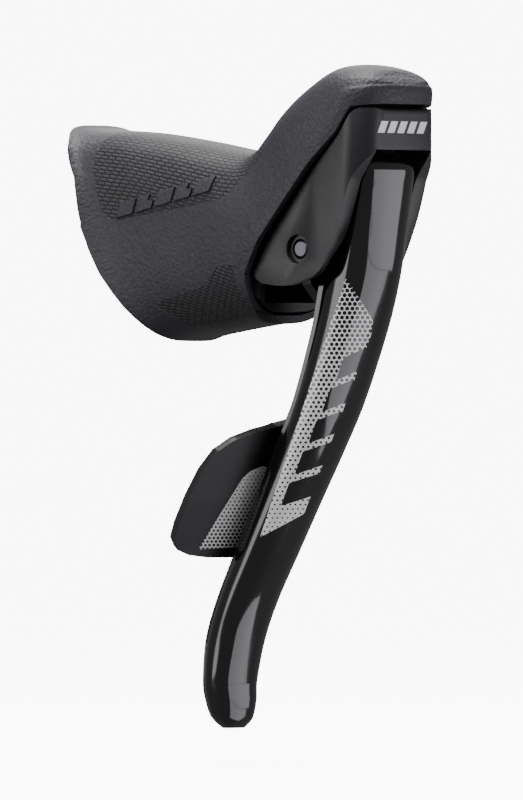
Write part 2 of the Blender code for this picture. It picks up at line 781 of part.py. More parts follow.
def make_blade_pin():
    half = WING_INNER - 0.0002
    radius = BLADE_PIN_DIAMETER / 2
    profile = ((0, half), (radius, half), (radius, -half), (0, -half))
    return finish(turned("blade_pin", profile, cross_frame(BLADE_PIN), steps=16), STEEL)


def make_pivot_pin():
    half = WING_OUTER - PIN_RECESS
    chamfer = 0.0006
    profile = (
        (0, half), (PIN_RADIUS - chamfer, half), (PIN_RADIUS, half - chamfer),
        (PIN_RADIUS, -half + chamfer), (PIN_RADIUS - chamfer, -half), (0, -half),
    )
    return finish(turned("brake_pivot_pin", profile, cross_frame(BRAKE_PIVOT)), STEEL)


def make_pivot_bush(name, side):
    """A plain bearing ring in the wing's hole, round the pivot pin."""
    inner = PIN_RADIUS + FIT
    outer = PIN_HOLE_DIAMETER / 2 - FIT / 2
    low = WING_INNER
    high = WING_OUTER - PIN_RECESS
    frame = cross_frame(BRAKE_PIVOT)
    if side < 0:
        low, high = -high, -low
    return finish(turned(name, tube_profile(inner, outer, low, high), frame, closed=True), BRASS)


def make_cable_anchor():
    """The barrel that holds the end of the brake cable. It swivels on two journals in the blade."""
    wide = WINDOW_HALF_WIDTH - 0.0032
    end = BLADE_HEAD[2][3] - 0.0003
    body = ANCHOR_DIAMETER / 2
    journal = ANCHOR_JOURNAL / 2
    profile = (
        (0, end), (journal, end), (journal, wide), (body, wide),
        (body, -wide), (journal, -wide), (journal, -end), (0, -end),
    )
    anchor = turned("cable_anchor", profile, cross_frame(ANCHOR_CENTRE))
    x, z = ANCHOR_CENTRE
    cut(anchor, rod("anchor_cable_hole", (x - 0.01, 0, z), (x + 0.01, 0, z), CABLE_HOLE / 2, sides=12))
    return finish(anchor, STEEL)


# Shift mechanism


def make_ratchet_shaft():
    rear = CAVITY_REAR - SHAFT_SEAT
    front = CARRIER_REAR + HUB_LENGTH + 0.0010
    profile = ((0, front), (SHAFT_RADIUS, front), (SHAFT_RADIUS, rear), (0, rear))
    return finish(turned("ratchet_shaft", profile, shaft_frame(0)), STEEL)


def make_cable_spool():
    inner = SHAFT_RADIUS + FIT
    outer = SPOOL_DIAMETER / 2
    groove = SPOOL_GROOVE_DIAMETER / 2
    low = SPOOL_REAR
    high = SPOOL_REAR + SPOOL_LENGTH
    lip = 0.0016
    profile = (
        (outer, high), (outer, high - lip), (groove, high - lip - 0.0008),
        (groove, low + lip + 0.0008), (outer, low + lip), (outer, low), (inner, low), (inner, high),
    )
    return finish(turned("cable_spool", profile, shaft_frame(0), closed=True, steps=28), WHITE_RESIN)


def tooth_outline():
    """One-way teeth. The radius rises with the angle over each tooth, then drops."""
    pitch = 2 * math.pi / TEETH
    points = []
    for i in range(TEETH):
        start = TOOTH_WALL_ANGLE + pitch * i
        for share in (0.02, 0.36, 0.68, 0.98):
            radius = WHEEL_ROOT + TOOTH_HEIGHT * share
            angle = start + pitch * share
            points.append((radius * math.cos(angle), radius * math.sin(angle)))
    return points


def make_ratchet_wheel():
    middle = WHEEL_REAR + WHEEL_THICKNESS / 2
    frame = Matrix.Translation((middle, 0, SHAFT_HEIGHT)) @ FRONT_VIEW
    outlines = [tooth_outline(), circle((0, 0), SHAFT_RADIUS + FIT)]
    return finish(plate("ratchet_wheel", outlines, WHEEL_THICKNESS, frame), DARK_STEEL)


def pawl_outline(tip_angle, pivot, boss):
    """A pawl in the shaft's YZ plane. Its nose rests behind a tooth, its boss turns on pivot."""
    away = math.degrees(math.atan2(pivot[1], pivot[0]))
    nose = WHEEL_ROOT + 0.0004
    points = [polar(tip_angle, nose), polar(tip_angle - 1.5, WHEEL_OUTER + 0.0009)]
    points += arc(pivot, boss, math.radians(away - 75), math.radians(away + 115), 9)
    points += [polar((tip_angle + away) / 2 + 6, WHEEL_OUTER + 0.0011), polar(tip_angle + 9, nose + 0.0011)]
    return points


def make_holding_pawl():
    """Keeps the wheel from running back against the cable."""
    middle = WHEEL_REAR + WHEEL_THICKNESS / 2
    frame = Matrix.Translation((middle, 0, SHAFT_HEIGHT)) @ FRONT_VIEW
    tip = math.degrees(TOOTH_WALL_ANGLE) + 2
    outline = pawl_outline(tip, holding_pivot(), PAWL_BOSS)
    hole = circle(holding_pivot(), PAWL_PIN_DIAMETER / 2 + FIT, 16)
    return finish(plate("holding_pawl", [outline, hole], WHEEL_THICKNESS - 0.0002, frame), DARK_STEEL)


def make_pawl_pin():
    rear = CAVITY_REAR - SHAFT_SEAT
    front = WHEEL_REAR + WHEEL_THICKNESS + 0.0008
    start = (rear, holding_pivot()[0], pawl_pivot_height())
    end = (front, holding_pivot()[0], pawl_pivot_height())
    return finish(rod("pawl_pin", start, end, PAWL_PIN_DIAMETER / 2, PARTS, 16), STEEL)


def make_drive_pawl():
    """Pushes the wheel round one tooth as the paddle swings inboard."""
    middle = WHEEL_REAR + WHEEL_THICKNESS / 2
    frame = Matrix.Translation((middle, 0, SHAFT_HEIGHT)) @ FRONT_VIEW
    tip = math.degrees(TOOTH_WALL_ANGLE) + 9 * 360 / TEETH + 2
    outline = pawl_outline(tip, drive_pivot(), DRIVE_PAWL_BOSS)
    hole = circle(drive_pivot(), DRIVE_STUD_DIAMETER / 2 + FIT, 12)
    return finish(plate("drive_pawl", [outline, hole], WHEEL_THICKNESS - 0.0002, frame), DARK_STEEL)


def make_drive_pawl_stud():
    y, z = drive_pivot()
    start = (WHEEL_REAR + 0.0002, y, SHAFT_HEIGHT + z)
    end = (CARRIER_REAR + CARRIER_DISC, y, SHAFT_HEIGHT + z)
    return finish(rod("drive_pawl_stud", start, end, DRIVE_STUD_DIAMETER / 2, PARTS, 12), STEEL)


def make_carrier():
    """The disc that swings with the paddle. Two ears in front hold the paddle's pin."""
    carrier = turned(
        "shift_carrier",
        (
            (CARRIER_RADIUS, CARRIER_REAR + CARRIER_DISC), (CARRIER_RADIUS, CARRIER_REAR),
            (SHAFT_RADIUS + FIT, CARRIER_REAR), (SHAFT_RADIUS + FIT, CARRIER_REAR + HUB_LENGTH),
            (HUB_RADIUS, CARRIER_REAR + HUB_LENGTH), (HUB_RADIUS, CARRIER_REAR + CARRIER_DISC),
        ),
        shaft_frame(0),
        closed=True,
        steps=28,
    )
    x, z = PADDLE_AXIS
    rear = CARRIER_REAR + CARRIER_DISC / 2
    nose = arc(PADDLE_AXIS, EAR_HALF_HEIGHT, -math.pi / 2, math.pi / 2, 9)
    outline = [(rear, z - EAR_HALF_HEIGHT), *nose, (rear, z + EAR_HALF_HEIGHT)]
    for side in (1, -1):
        middle = side * (EAR_INNER + EAR_THICKNESS / 2)
        ear = plate(f"ear_{side}", [outline], EAR_THICKNESS, side_frame(middle), CUTTERS)
        combine(carrier, ear, "UNION")
    cut(carrier, rod("ear_bore", (x, -0.02, z), (x, 0.02, z), PADDLE_PIN_DIAMETER / 2 + FIT))
    y, z = drive_pivot()
    start = (CARRIER_REAR - 0.001, y, SHAFT_HEIGHT + z)
    end = (CARRIER_REAR + CARRIER_DISC + 0.001, y, SHAFT_HEIGHT + z)
    cut(carrier, rod("stud_bore", start, end, DRIVE_STUD_DIAMETER / 2 + FIT, sides=12))
    return finish(carrier, DARK_STEEL)


def make_shaft_clip():
    rear = CARRIER_REAR + HUB_LENGTH + 0.0002
    profile = tube_profile(SHAFT_RADIUS + FIT, CLIP_RADIUS, rear, rear + CLIP_THICKNESS)
    return finish(turned("shaft_clip", profile, shaft_frame(0), closed=True, steps=16), STEEL)


def make_paddle_pin():
    half = EAR_INNER + EAR_THICKNESS
    radius = PADDLE_PIN_DIAMETER / 2
    profile = ((0, half), (radius, half), (radius, -half), (0, -half))
    return finish(turned("paddle_pin", profile, cross_frame(PADDLE_AXIS), steps=16), STEEL)


# Shift paddle


def blade_rear(height):
    """Where the blade's rear edge is at this height."""
    rows = blade_rows()
    for upper, lower in zip(rows, rows[1:]):
        if lower[0] <= height <= upper[0]:
            share = (upper[0] - height) / (upper[0] - lower[0])
            return upper[2] + (lower[2] - upper[2]) * share
    return rows[-1][2]


def arm_line():
    """Middle of the arm seen from the side. Its lower end lies along the back of the paddle."""
    slope = math.atan2(blade_rear(PADDLE_TOP) - blade_rear(PADDLE_BOTTOM), PADDLE_TOP - PADDLE_BOTTOM)
    layers = (PADDLE_THICKNESS + ARM_SEAT_GAP + ARM_DEPTH / 2) / math.cos(slope)
    seat = []
    for height in (PADDLE_TOP + 0.0025, PADDLE_TOP - 0.0030, ARM_END):
        seat.append((blade_rear(height) - PADDLE_GAP - layers - ARM_SEAT_GAP, height))
    return [*ARM_PATH, *seat]


def make_paddle_arm():
    """A steel arm from the paddle's pin, down behind the blade, to the back of the paddle."""
    front = offset_line(arm_line(), ARM_DEPTH / 2)
    rear = offset_line(arm_line(), -ARM_DEPTH / 2)
    eye = arc(PADDLE_AXIS, ARM_EYE_RADIUS, math.radians(-40), math.radians(220), 12)
    outline = [*reversed(front), *eye, *rear]
    hole = circle(PADDLE_AXIS, PADDLE_PIN_DIAMETER / 2 + FIT, 16)
    arm = plate("paddle_arm", [outline, hole], 0.04, side_frame(0))
    low = ARM_END - 0.01
    inner = [*ARM_INNER_EDGE, (ARM_INNER_EDGE[-1][0], low)]
    outer = [*ARM_OUTER_EDGE, (ARM_OUTER_EDGE[-1][0], low)]
    middle = (ARM_PATH[0][0] + ARM_PATH[-1][0]) / 2
    width = plate("arm_width", [[*inner, *reversed(outer)]], 0.08, front_frame(middle), CUTTERS)
    return finish(combine(arm, width, "INTERSECT"), DARK_STEEL)


def paddle_inner_edge(share):
    for upper, lower in zip(PADDLE_INNER_EDGE, PADDLE_INNER_EDGE[1:]):
        if share <= lower[0]:
            part = (share - upper[0]) / (lower[0] - upper[0])
            return upper[1] + (lower[1] - upper[1]) * part
    return PADDLE_INNER_EDGE[-1][1]


def paddle_front(y, height):
    """The paddle's front follows the blade's rear, then rakes back towards its inner edge."""
    beyond = max(0.0, PADDLE_RAKE_START - y) / 0.018
    return blade_rear(height) - PADDLE_GAP - PADDLE_RAKE * beyond


def make_paddle():
    columns = 10
    rows = [share for share, _ in PADDLE_INNER_EDGE]
    bm = bmesh.new()
    grid = []
    for share in rows:
        height = PADDLE_TOP + (PADDLE_BOTTOM - PADDLE_TOP) * share
        inner = paddle_inner_edge(share)
        line = []
        for k in range(columns + 1):
            y = PADDLE_OUTER_EDGE + (inner - PADDLE_OUTER_EDGE) * k / columns
            line.append(bm.verts.new((paddle_front(y, height), y, height)))
        grid.append(line)
    for upper, lower in zip(grid, grid[1:]):
        for k in range(columns):
            bm.faces.new((upper[k], upper[k + 1], lower[k + 1], lower[k]))
    paddle = mesh_object("shift_paddle", bm, PARTS)
    forward = paddle.data.polygons[0].normal.x > 0
    thick = paddle.modifiers.new("thickness", "SOLIDIFY")
    thick.thickness = PADDLE_THICKNESS
    thick.offset = -1 if forward else 1
    return finish(paddle, SATIN_BLACK)


# Springs and cable fittings


def make_springs():
    radius = PIN_RADIUS + 0.0010
    high = CHEEK_INNER - SPRING_ROOM - WIRE_DIAMETER / 2
    made = [coil("brake_return_spring", cross_frame(BRAKE_PIVOT), radius, SPRING_START, high, 4)]
    radius = SHAFT_RADIUS + 0.0018
    low = CAVITY_REAR + 0.0010
    made.append(coil("spool_return_spring", shaft_frame(0), radius, low, SPOOL_REAR - 0.0009, 2))
    radius = HUB_RADIUS + 0.0010
    low = CARRIER_REAR + CARRIER_DISC + 0.0008
    high = CARRIER_REAR + HUB_LENGTH - 0.0006
    made.append(coil("carrier_return_spring", shaft_frame(0), radius, low, high, 1.5))
    return made


def make_brake_housing_stop():
    front, back = brake_port_line()
    outer = BRAKE_HOUSING_DIAMETER / 2
    high = -BRAKE_STOP_DEPTH - 0.0003
    frame = Matrix.Translation(front) @ (-back).to_track_quat("Z", "Y").to_matrix().to_4x4()
    profile = tube_profile(CABLE_HOLE / 2, outer, high - STOP_LENGTH, high)
    return finish(turned("brake_housing_stop", profile, frame, closed=True, steps=20), STEEL)


def make_shift_housing_stop():
    x, y, z = SHIFT_PORT
    outer = SHIFT_HOUSING_DIAMETER / 2
    frame = Matrix.Translation((x, y, z)) @ ALONG_X
    profile = tube_profile(CABLE_HOLE / 2, outer, -STOP_LENGTH - 0.0003, -0.0003)
    return finish(turned("shift_housing_stop", profile, frame, closed=True, steps=20), STEEL)


# Assembly


def body(name, location, pieces):
    """Parents the pieces to an empty on their joint's axis, leaving them where they are."""
    pivot = bpy.data.objects.new(name, None)
    pivot.empty_display_size = 0.008
    pivot.location = location
    PARTS.objects.link(pivot)
    bpy.context.view_layer.update()
    for piece in pieces:
        piece.parent = pivot
        piece.matrix_parent_inverse = pivot.matrix_world.inverted()


def assemble():
    fixed = [make_hood(), make_bracket(), make_clamp_band(), make_clamp_nut_plate(), make_clamp_bolt()]
    fixed += [make_pivot_pin(), make_ratchet_shaft(), make_shaft_clip(), make_pawl_pin()]
    fixed += [*make_springs(), make_brake_housing_stop(), make_shift_housing_stop()]
    body("bar_clamp_origin", (0, 0, 0), fixed)
    lever = [make_yoke(), make_blade(), make_blade_pin()]
    lever += [make_pivot_bush("pivot_bush_left", 1), make_pivot_bush("pivot_bush_right", -1)]
    body("brake_pivot_axis", (BRAKE_PIVOT[0], 0, BRAKE_PIVOT[1]), lever)
    body("cable_anchor_axis", (ANCHOR_CENTRE[0], 0, ANCHOR_CENTRE[1]), [make_cable_anchor()])
    swing = [make_carrier(), make_drive_pawl(), make_drive_pawl_stud(), make_paddle_pin()]
    body("shift_swing_axis", (CARRIER_REAR, 0, SHAFT_HEIGHT), swing)
    paddle = [make_paddle_arm(), make_paddle()]
    body("paddle_axis", (PADDLE_AXIS[0], 0, PADDLE_AXIS[1]), paddle)
    body("spool_axis", (SPOOL_REAR, 0, SHAFT_HEIGHT), [make_cable_spool(), make_ratchet_wheel()])
    pawl_place = (WHEEL_REAR, holding_pivot()[0], pawl_pivot_height())
    body("holding_pawl_axis", pawl_place, [make_holding_pawl()])


def shade():
    for obj in PARTS.objects:
        if obj.type == "MESH":
            obj.data.shade_smooth()
            obj.data.set_sharp_from_angle(angle=math.radians(35))


assemble()
shade()
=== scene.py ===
"""Left-hand drop-bar brake and shift lever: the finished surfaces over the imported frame, in metres."""

import math

import bpy
import numpy as np
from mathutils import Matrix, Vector
from mathutils.bvhtree import BVHTree


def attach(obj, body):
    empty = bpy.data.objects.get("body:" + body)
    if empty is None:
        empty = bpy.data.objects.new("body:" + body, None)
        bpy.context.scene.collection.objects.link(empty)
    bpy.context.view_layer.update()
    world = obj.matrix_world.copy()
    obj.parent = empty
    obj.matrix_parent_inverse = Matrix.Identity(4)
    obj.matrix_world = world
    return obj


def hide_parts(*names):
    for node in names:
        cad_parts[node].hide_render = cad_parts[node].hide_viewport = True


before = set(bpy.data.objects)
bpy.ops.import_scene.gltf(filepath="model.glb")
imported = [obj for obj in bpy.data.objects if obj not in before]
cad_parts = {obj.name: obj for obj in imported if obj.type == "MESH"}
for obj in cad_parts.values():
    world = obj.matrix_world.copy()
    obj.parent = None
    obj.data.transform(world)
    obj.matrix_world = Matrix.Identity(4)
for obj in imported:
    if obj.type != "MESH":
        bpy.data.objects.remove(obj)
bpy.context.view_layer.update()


# ---------------------------------------------------------------------------------------------
# Camera. It stands off the rider's right front, level with the blade.
# A long lens from far away keeps the lever's upright lines nearly parallel.
# ---------------------------------------------------------------------------------------------
VIEW_TURN = math.radians(42)
FIELD_HEIGHT = 0.200
LENS = 600
SENSOR = 36
look_along = Vector((-math.sin(VIEW_TURN), math.cos(VIEW_TURN), 0))
image_right = Vector((math.cos(VIEW_TURN), math.sin(VIEW_TURN), 0))
look_at = image_right * 0.03188 - look_along * 0.033 + Vector((0, 0, -0.04375))
bpy.ops.object.select_all(action="DESELECT")
bpy.ops.object.camera_add(location=look_at - look_along * (FIELD_HEIGHT * LENS / SENSOR))
camera = bpy.context.object
camera.name = "camera"
camera.rotation_mode = "QUATERNION"
camera.rotation_quaternion = look_along.to_track_quat("-Z", "Y")
camera.data.lens = LENS
camera.data.sensor_width = SENSOR
bpy.context.scene.camera = camera


# ---------------------------------------------------------------------------------------------
# Floor and light. A white paper floor curves up into a wall all round, and large soft panels
# stand in front, at the sides, above and behind. The paper neither lights the lever nor mirrors in it.
# ---------------------------------------------------------------------------------------------
FLOOR_HEIGHT = -0.135
FLOOR_RADIUS = 6.0
PAPER_GLOW = 9.0
COVE_RADIUS = 2.0
WALL_HEIGHT = 6.0
bpy.ops.mesh.primitive_grid_add(x_subdivisions=60, y_subdivisions=96, size=1)
floor = bpy.context.object
floor.name = "studio_floor"
for vertex in floor.data.vertices:
    run = (vertex.co.x + 0.5) * (FLOOR_RADIUS + COVE_RADIUS * math.pi / 2 + WALL_HEIGHT)
    turn = vertex.co.y * 2 * math.pi
    bend = min(max((run - FLOOR_RADIUS) / COVE_RADIUS, 0), math.pi / 2)
    out = min(run, FLOOR_RADIUS) + COVE_RADIUS * math.sin(bend)
    rise = COVE_RADIUS * (1 - math.cos(bend)) + max(run - FLOOR_RADIUS - COVE_RADIUS * math.pi / 2, 0)
    vertex.co = (out * math.cos(turn), out * math.sin(turn), FLOOR_HEIGHT + rise)
bpy.ops.object.shade_smooth()
floor.visible_diffuse = False
floor.visible_glossy = False
floor.visible_shadow = False
paper = bpy.data.materials.new("white_paper")
paper.use_nodes = True
shader = paper.node_tree.nodes["Principled BSDF"]
shader.inputs["Roughness"].default_value = 0.9
shader.inputs["Emission Color"].default_value = (1, 1, 1, 1)
shader.inputs["Emission Strength"].default_value = PAPER_GLOW
grain = paper.node_tree.nodes.new("ShaderNodeTexNoise")
grain.inputs["Scale"].default_value = 2.0
tint = paper.node_tree.nodes.new("ShaderNodeValToRGB")
tint.color_ramp.elements[0].color = (0.86, 0.86, 0.86, 1)
tint.color_ramp.elements[1].color = (0.90, 0.90, 0.90, 1)
paper.node_tree.links.new(grain.outputs["Fac"], tint.inputs["Fac"])
paper.node_tree.links.new(tint.outputs["Color"], shader.inputs["Base Color"])
floor.data.materials.append(paper)

PANELS = (
    # name, direction from the lever (right, toward the camera, up), distance, width, height, power, colour
    ("key_panel", (-0.40, 0.70, 0.90), 0.9, 0.60, 0.50, 5.5, (1.0, 0.99, 1.0)),
    ("left_panel", (-0.95, 0.30, 0.20), 0.9, 0.35, 0.70, 2.4, (1.0, 0.99, 1.0)),
    ("top_panel", (-0.05, -0.20, 1.00), 0.8, 0.70, 0.50, 11.0, (1.0, 1.0, 1.0)),
    ("right_panel", (0.96, 0.27, -0.02), 0.9, 0.95, 0.36, 2.4, (0.97, 0.93, 1.0)),
    ("low_right_panel", (0.85, 0.26, -0.48), 0.9, 0.85, 0.50, 2.9, (0.97, 0.93, 1.0)),
    ("rear_panel", (0.10, -1.00, 0.50), 1.1, 0.60, 0.60, 3.0, (1.0, 1.0, 1.0)),
)
for name, direction, distance, width, height, power, colour in PANELS:
    right, near, up = direction
    away = (image_right * right - look_along * near + Vector((0, 0, up))).normalized()
    bpy.ops.object.light_add(type="AREA", location=look_at + away * distance)
    panel = bpy.context.object
    panel.name = name
    panel.rotation_mode = "QUATERNION"
    panel.rotation_quaternion = away.to_track_quat("Z", "Y")
    panel.data.shape = "RECTANGLE"
    panel.data.size = width
    panel.data.size_y = height
    panel.data.energy = power
    panel.data.color = colour
    panel.visible_camera = False
world = bpy.data.worlds.new("studio")
world.use_nodes = True
world.node_tree.nodes["Background"].inputs["Color"].default_value = (0.93, 0.94, 0.96, 1)
world.node_tree.nodes["Background"].inputs["Strength"].default_value = 0.22
bpy.context.scene.world = world


# ---------------------------------------------------------------------------------------------
# Rubber hood. A soft charcoal cover, moulded in one piece and stretched over the bracket, with
# a flared rear rim for the bar tape, a front horn, and fine scale texture where the hand rests.
# ---------------------------------------------------------------------------------------------
HOOD_SECTIONS = np.array((
    # top X, top Z, bottom X, bottom Z, half width
    (-0.0130, 0.0258, 0.0220, -0.0290, 0.0195),
    (-0.0085, 0.0247, 0.0262, -0.0278, 0.0177),
    (0.0070, 0.0236, 0.0360, -0.0262, 0.0171),
    (0.0240, 0.0213, 0.0450, -0.0250, 0.0170),
    (0.0400, 0.0187, 0.0560, -0.0237, 0.0176),
    (0.0470, 0.0189, 0.0670, -0.0170, 0.0177),
    (0.0518, 0.0237, 0.0760, -0.0060, 0.0174),
    (0.0562, 0.0287, 0.0825, 0.0060, 0.0171),
    (0.0626, 0.0337, 0.0885, 0.0170, 0.0163),
    (0.0720, 0.0387, 0.0916, 0.0262, 0.0150),
    (0.0800, 0.0396, 0.0921, 0.0310, 0.0130),
    (0.0858, 0.0384, 0.0918, 0.0340, 0.0095),
    (0.0884, 0.0368, 0.0911, 0.0350, 0.0050),
))
HOOD_SQUARENESS = (3.4, 3.4, 3.4, 3.3, 3.1, 2.8, 2.6, 2.4, 2.3, 2.2, 2.2, 2.3, 2.3)
HOOD_TOP_TAPER = (0, 0, 0, 0.02, 0.07, 0.11, 0.13, 0.13, 0.13, 0.12, 0.11, 0.10, 0.10)
TAPER_START = -0.6
LIP_WIDTH_MM = 4.6
LIP_FADE_MM = 0.9
LIP_RISE = 0.00040
LIP_LOW_END = -0.012
LIP_LOW_FADE = 0.010
ARM_RELIEF_BACK = 0.0045
ARM_RELIEF_LOW = -0.0283
ARM_RELIEF_HIGH = -0.0218
RIM_BOW = (
    # height on the rim, how far its edge stands behind a straight one
    (-0.0290, -0.0018), (-0.0200, -0.0044), (-0.0120, -0.0058), (-0.0050, -0.0054), (0.0030, -0.0032),
    (0.0080, -0.0010), (0.0130, 0.0010), (0.0190, 0.0018), (0.0225, 0.0014), (0.0258, 0.0002),
)
RIM_BOW_REACH = 0.20
HOOD_WALL = 0.0020
HOOD_ALONG = 190
HOOD_AROUND = 168
YOKE_REAR_EDGE = (
    (0.0530, -0.01275), (0.0579, -0.00475), (0.0660, 0.0050), (0.0742, 0.0146),
    (0.0820, 0.0222), (0.0858, 0.0283), (0.0910, 0.0288),
)
HOOD_GAP = 0.0008
UPPER_GRIP = (
    (0.0040, 0.0300), (0.0009, 0.0215), (0.0005, 0.0172), (0.0012, 0.0128), (0.0032, 0.0072),
    (0.0056, 0.0024), (0.0084, 0.0012), (0.0419, 0.0058), (0.0459, 0.0070), (0.0500, 0.0114),
    (0.0530, 0.0140), (0.0560, 0.0180), (0.0480, 0.0300),
)
LOWER_GRIP = (
    (0.0409, -0.0125), (0.0440, -0.0100), (0.0490, -0.0102), (0.0490, -0.0152),
    (0.0530, -0.0226), (0.0304, -0.0255), (0.0214, -0.0205), (0.0234, -0.0188), (0.0382, -0.0152),
)


def smooth_rows(rows, places):
    """Rows read at fractional places along a smooth curve through them."""
    low = np.clip(np.floor(places).astype(int), 0, len(rows) - 2)
    t = (places - low)[:, None]
    before = rows[np.clip(low - 1, 0, None)]
    here = rows[low]
    after = rows[low + 1]
    beyond = rows[np.clip(low + 2, None, len(rows) - 1)]
    curve = 2 * here + (after - before) * t
    curve += (2 * before - 5 * here + 4 * after - beyond) * t ** 2
    curve += (3 * here - before - 3 * after + beyond) * t ** 3
    return curve / 2


def apply_all(obj):
    """Applies every modifier of a piece, in order."""
    bpy.ops.object.select_all(action="DESELECT")
    obj.select_set(True)
    bpy.context.view_layer.objects.active = obj
    for modifier in list(obj.modifiers):
        bpy.ops.object.modifier_apply(modifier=modifier.name)


def rounded_power(angles, power):
    """Cosine of the angles, drawn out towards a square by power."""
    return np.sign(np.cos(angles)) * np.abs(np.cos(angles)) ** (2 / power)


def edge_distance(outline, x, z):
    """Distance in millimetres to an outline, positive inside it."""
    points = np.array(outline)
    ends = np.roll(points, -1, axis=0)
    nearest = np.full(len(x), 1.0)
    inside = np.zeros(len(x), bool)
    for (ax, az), (bx, bz) in zip(points, ends):
        squared = (bx - ax) ** 2 + (bz - az) ** 2
        along = np.clip(((x - ax) * (bx - ax) + (z - az) * (bz - az)) / squared, 0, 1)
        nearest = np.minimum(nearest, np.hypot(x - ax - along * (bx - ax), z - az - along * (bz - az)))
        crosses = (az > z) != (bz > z)
        rise = bz - az if bz != az else 1e-12
        inside ^= crosses & (x < ax + (z - az) * (bx - ax) / rise)
    return np.where(inside, nearest, -nearest) * 1000


def vertex_places(obj):
    places = np.empty(len(obj.data.vertices) * 3)
    obj.data.vertices.foreach_get("co", places)
    return places.reshape(-1, 3)


def store_on_vertices(obj, name, values):
    attribute = obj.data.attributes.new(name, "FLOAT", "POINT")
    attribute.data.foreach_set("value", values.astype(np.float32))


def moved_left(points, gap):
    """An open line moved sideways by gap."""
    moved = []
    for i, point in enumerate(points):
        before = Vector(points[max(i - 1, 0)])
        after = Vector(points[min(i + 1, len(points) - 1)])
        along = (after - before).normalized()
        moved.append((point[0] - along.y * gap, point[1] + along.x * gap))
    return moved


def plate_from_outline(name, outline, low, high, across="Y"):
    """A flat outline given depth between low and high, along Y (outline in X and Z) or Z (in X and Y)."""
    bpy.ops.object.select_all(action="DESELECT")
    bpy.ops.mesh.primitive_circle_add(vertices=len(outline), radius=1, fill_type="NGON")
    obj = bpy.context.object
    obj.name = name
    for vertex, (first, second) in zip(obj.data.vertices, outline):
        vertex.co = (first, low, second) if across == "Y" else (first, second, low)
    bpy.ops.object.mode_set(mode="EDIT")
    bpy.ops.mesh.select_all(action="SELECT")
    depth = (0, high - low, 0) if across == "Y" else (0, 0, high - low)
    bpy.ops.mesh.extrude_region_move(TRANSFORM_OT_translate={"value": depth})
    bpy.ops.mesh.select_all(action="SELECT")
    bpy.ops.mesh.normals_make_consistent(inside=False)
    bpy.ops.object.mode_set(mode="OBJECT")
    return obj


def cut_away(obj, cutter, operation="DIFFERENCE"):
    """Cuts the cutter out of a piece, or keeps only what is in both, and removes the cutter."""
    boolean = obj.modifiers.new("cut", "BOOLEAN")
    boolean.operation = operation
    boolean.object = cutter
    apply_all(obj)
    bpy.data.objects.remove(cutter)


def round_edges(obj, width, segments=3, angle=40):
    bevel = obj.modifiers.new("round", "BEVEL")
    bevel.width = width
    bevel.segments = segments
    bevel.limit_method = "ANGLE"
    bevel.angle_limit = math.radians(angle)
    bevel.harden_normals = False
    apply_all(obj)


def shade(obj, angle=35):
    bpy.ops.object.select_all(action="DESELECT")
    obj.select_set(True)
    bpy.context.view_layer.objects.active = obj
    bpy.ops.object.shade_smooth_by_angle(angle=math.radians(angle))


bpy.ops.object.select_all(action="DESELECT")
bpy.ops.mesh.primitive_grid_add(x_subdivisions=HOOD_ALONG, y_subdivisions=HOOD_AROUND, size=1)
hood = bpy.context.object
hood.name = "rubber_hood"
flat = vertex_places(hood)
along = flat[:, 0] + 0.5
station = along * (len(HOOD_SECTIONS) - 1)
rows = smooth_rows(HOOD_SECTIONS, station)
angle = (flat[:, 1] + 0.5) * 2 * math.pi
squareness = np.interp(station, range(len(HOOD_SECTIONS)), HOOD_SQUARENESS)
taper = np.interp(station, range(len(HOOD_SECTIONS)), HOOD_TOP_TAPER)
up = rounded_power(angle, squareness)
side = rounded_power(angle - math.pi / 2, squareness)
narrowing = 1 - taper * np.clip((up - TAPER_START) / (1 - TAPER_START), 0, 1) ** 1.5
middle = (rows[:, 0:2] + rows[:, 2:4]) / 2
half = (rows[:, 0:2] - rows[:, 2:4]) / 2
wrapped = np.column_stack((
    middle[:, 0] + half[:, 0] * up, side * rows[:, 4] * narrowing, middle[:, 1] + half[:, 1] * up
))
bow_heights, bow_moves = np.array(RIM_BOW).T
fade = np.clip(1 - along / RIM_BOW_REACH, 0, 1) ** 1.5
wrapped[:, 0] += np.interp(wrapped[:, 2], bow_heights, bow_moves) * fade
hood.data.vertices.foreach_set("co", wrapped.ravel())

# the surface's own lengths in millimetres, along the hood and down from its top line
grid_shape = (HOOD_AROUND + 1, HOOD_ALONG + 1, 3)
surface = wrapped.reshape(grid_shape)
down = np.zeros(grid_shape[:2])
down[1:] = np.cumsum(np.linalg.norm(np.diff(surface, axis=0), axis=2), axis=0)
down = np.minimum(down, down[-1] - down) * 1000
ahead = np.zeros(grid_shape[1])
centre = np.column_stack((middle, middle[:, :1])).reshape(grid_shape)[0]
ahead[1:] = np.cumsum(np.linalg.norm(np.diff(centre[:, :2], axis=0), axis=1)) * 1000
lengths = np.dstack((np.broadcast_to(ahead, down.shape), down)).reshape(-1, 2)
corners = np.empty(len(hood.data.loops), int)
hood.data.loops.foreach_get("vertex_index", corners)
hood.data.uv_layers[0].name = "surface_mm"
hood.data.uv_layers[0].data.foreach_set("uv", lengths[corners].astype(np.float32).ravel())

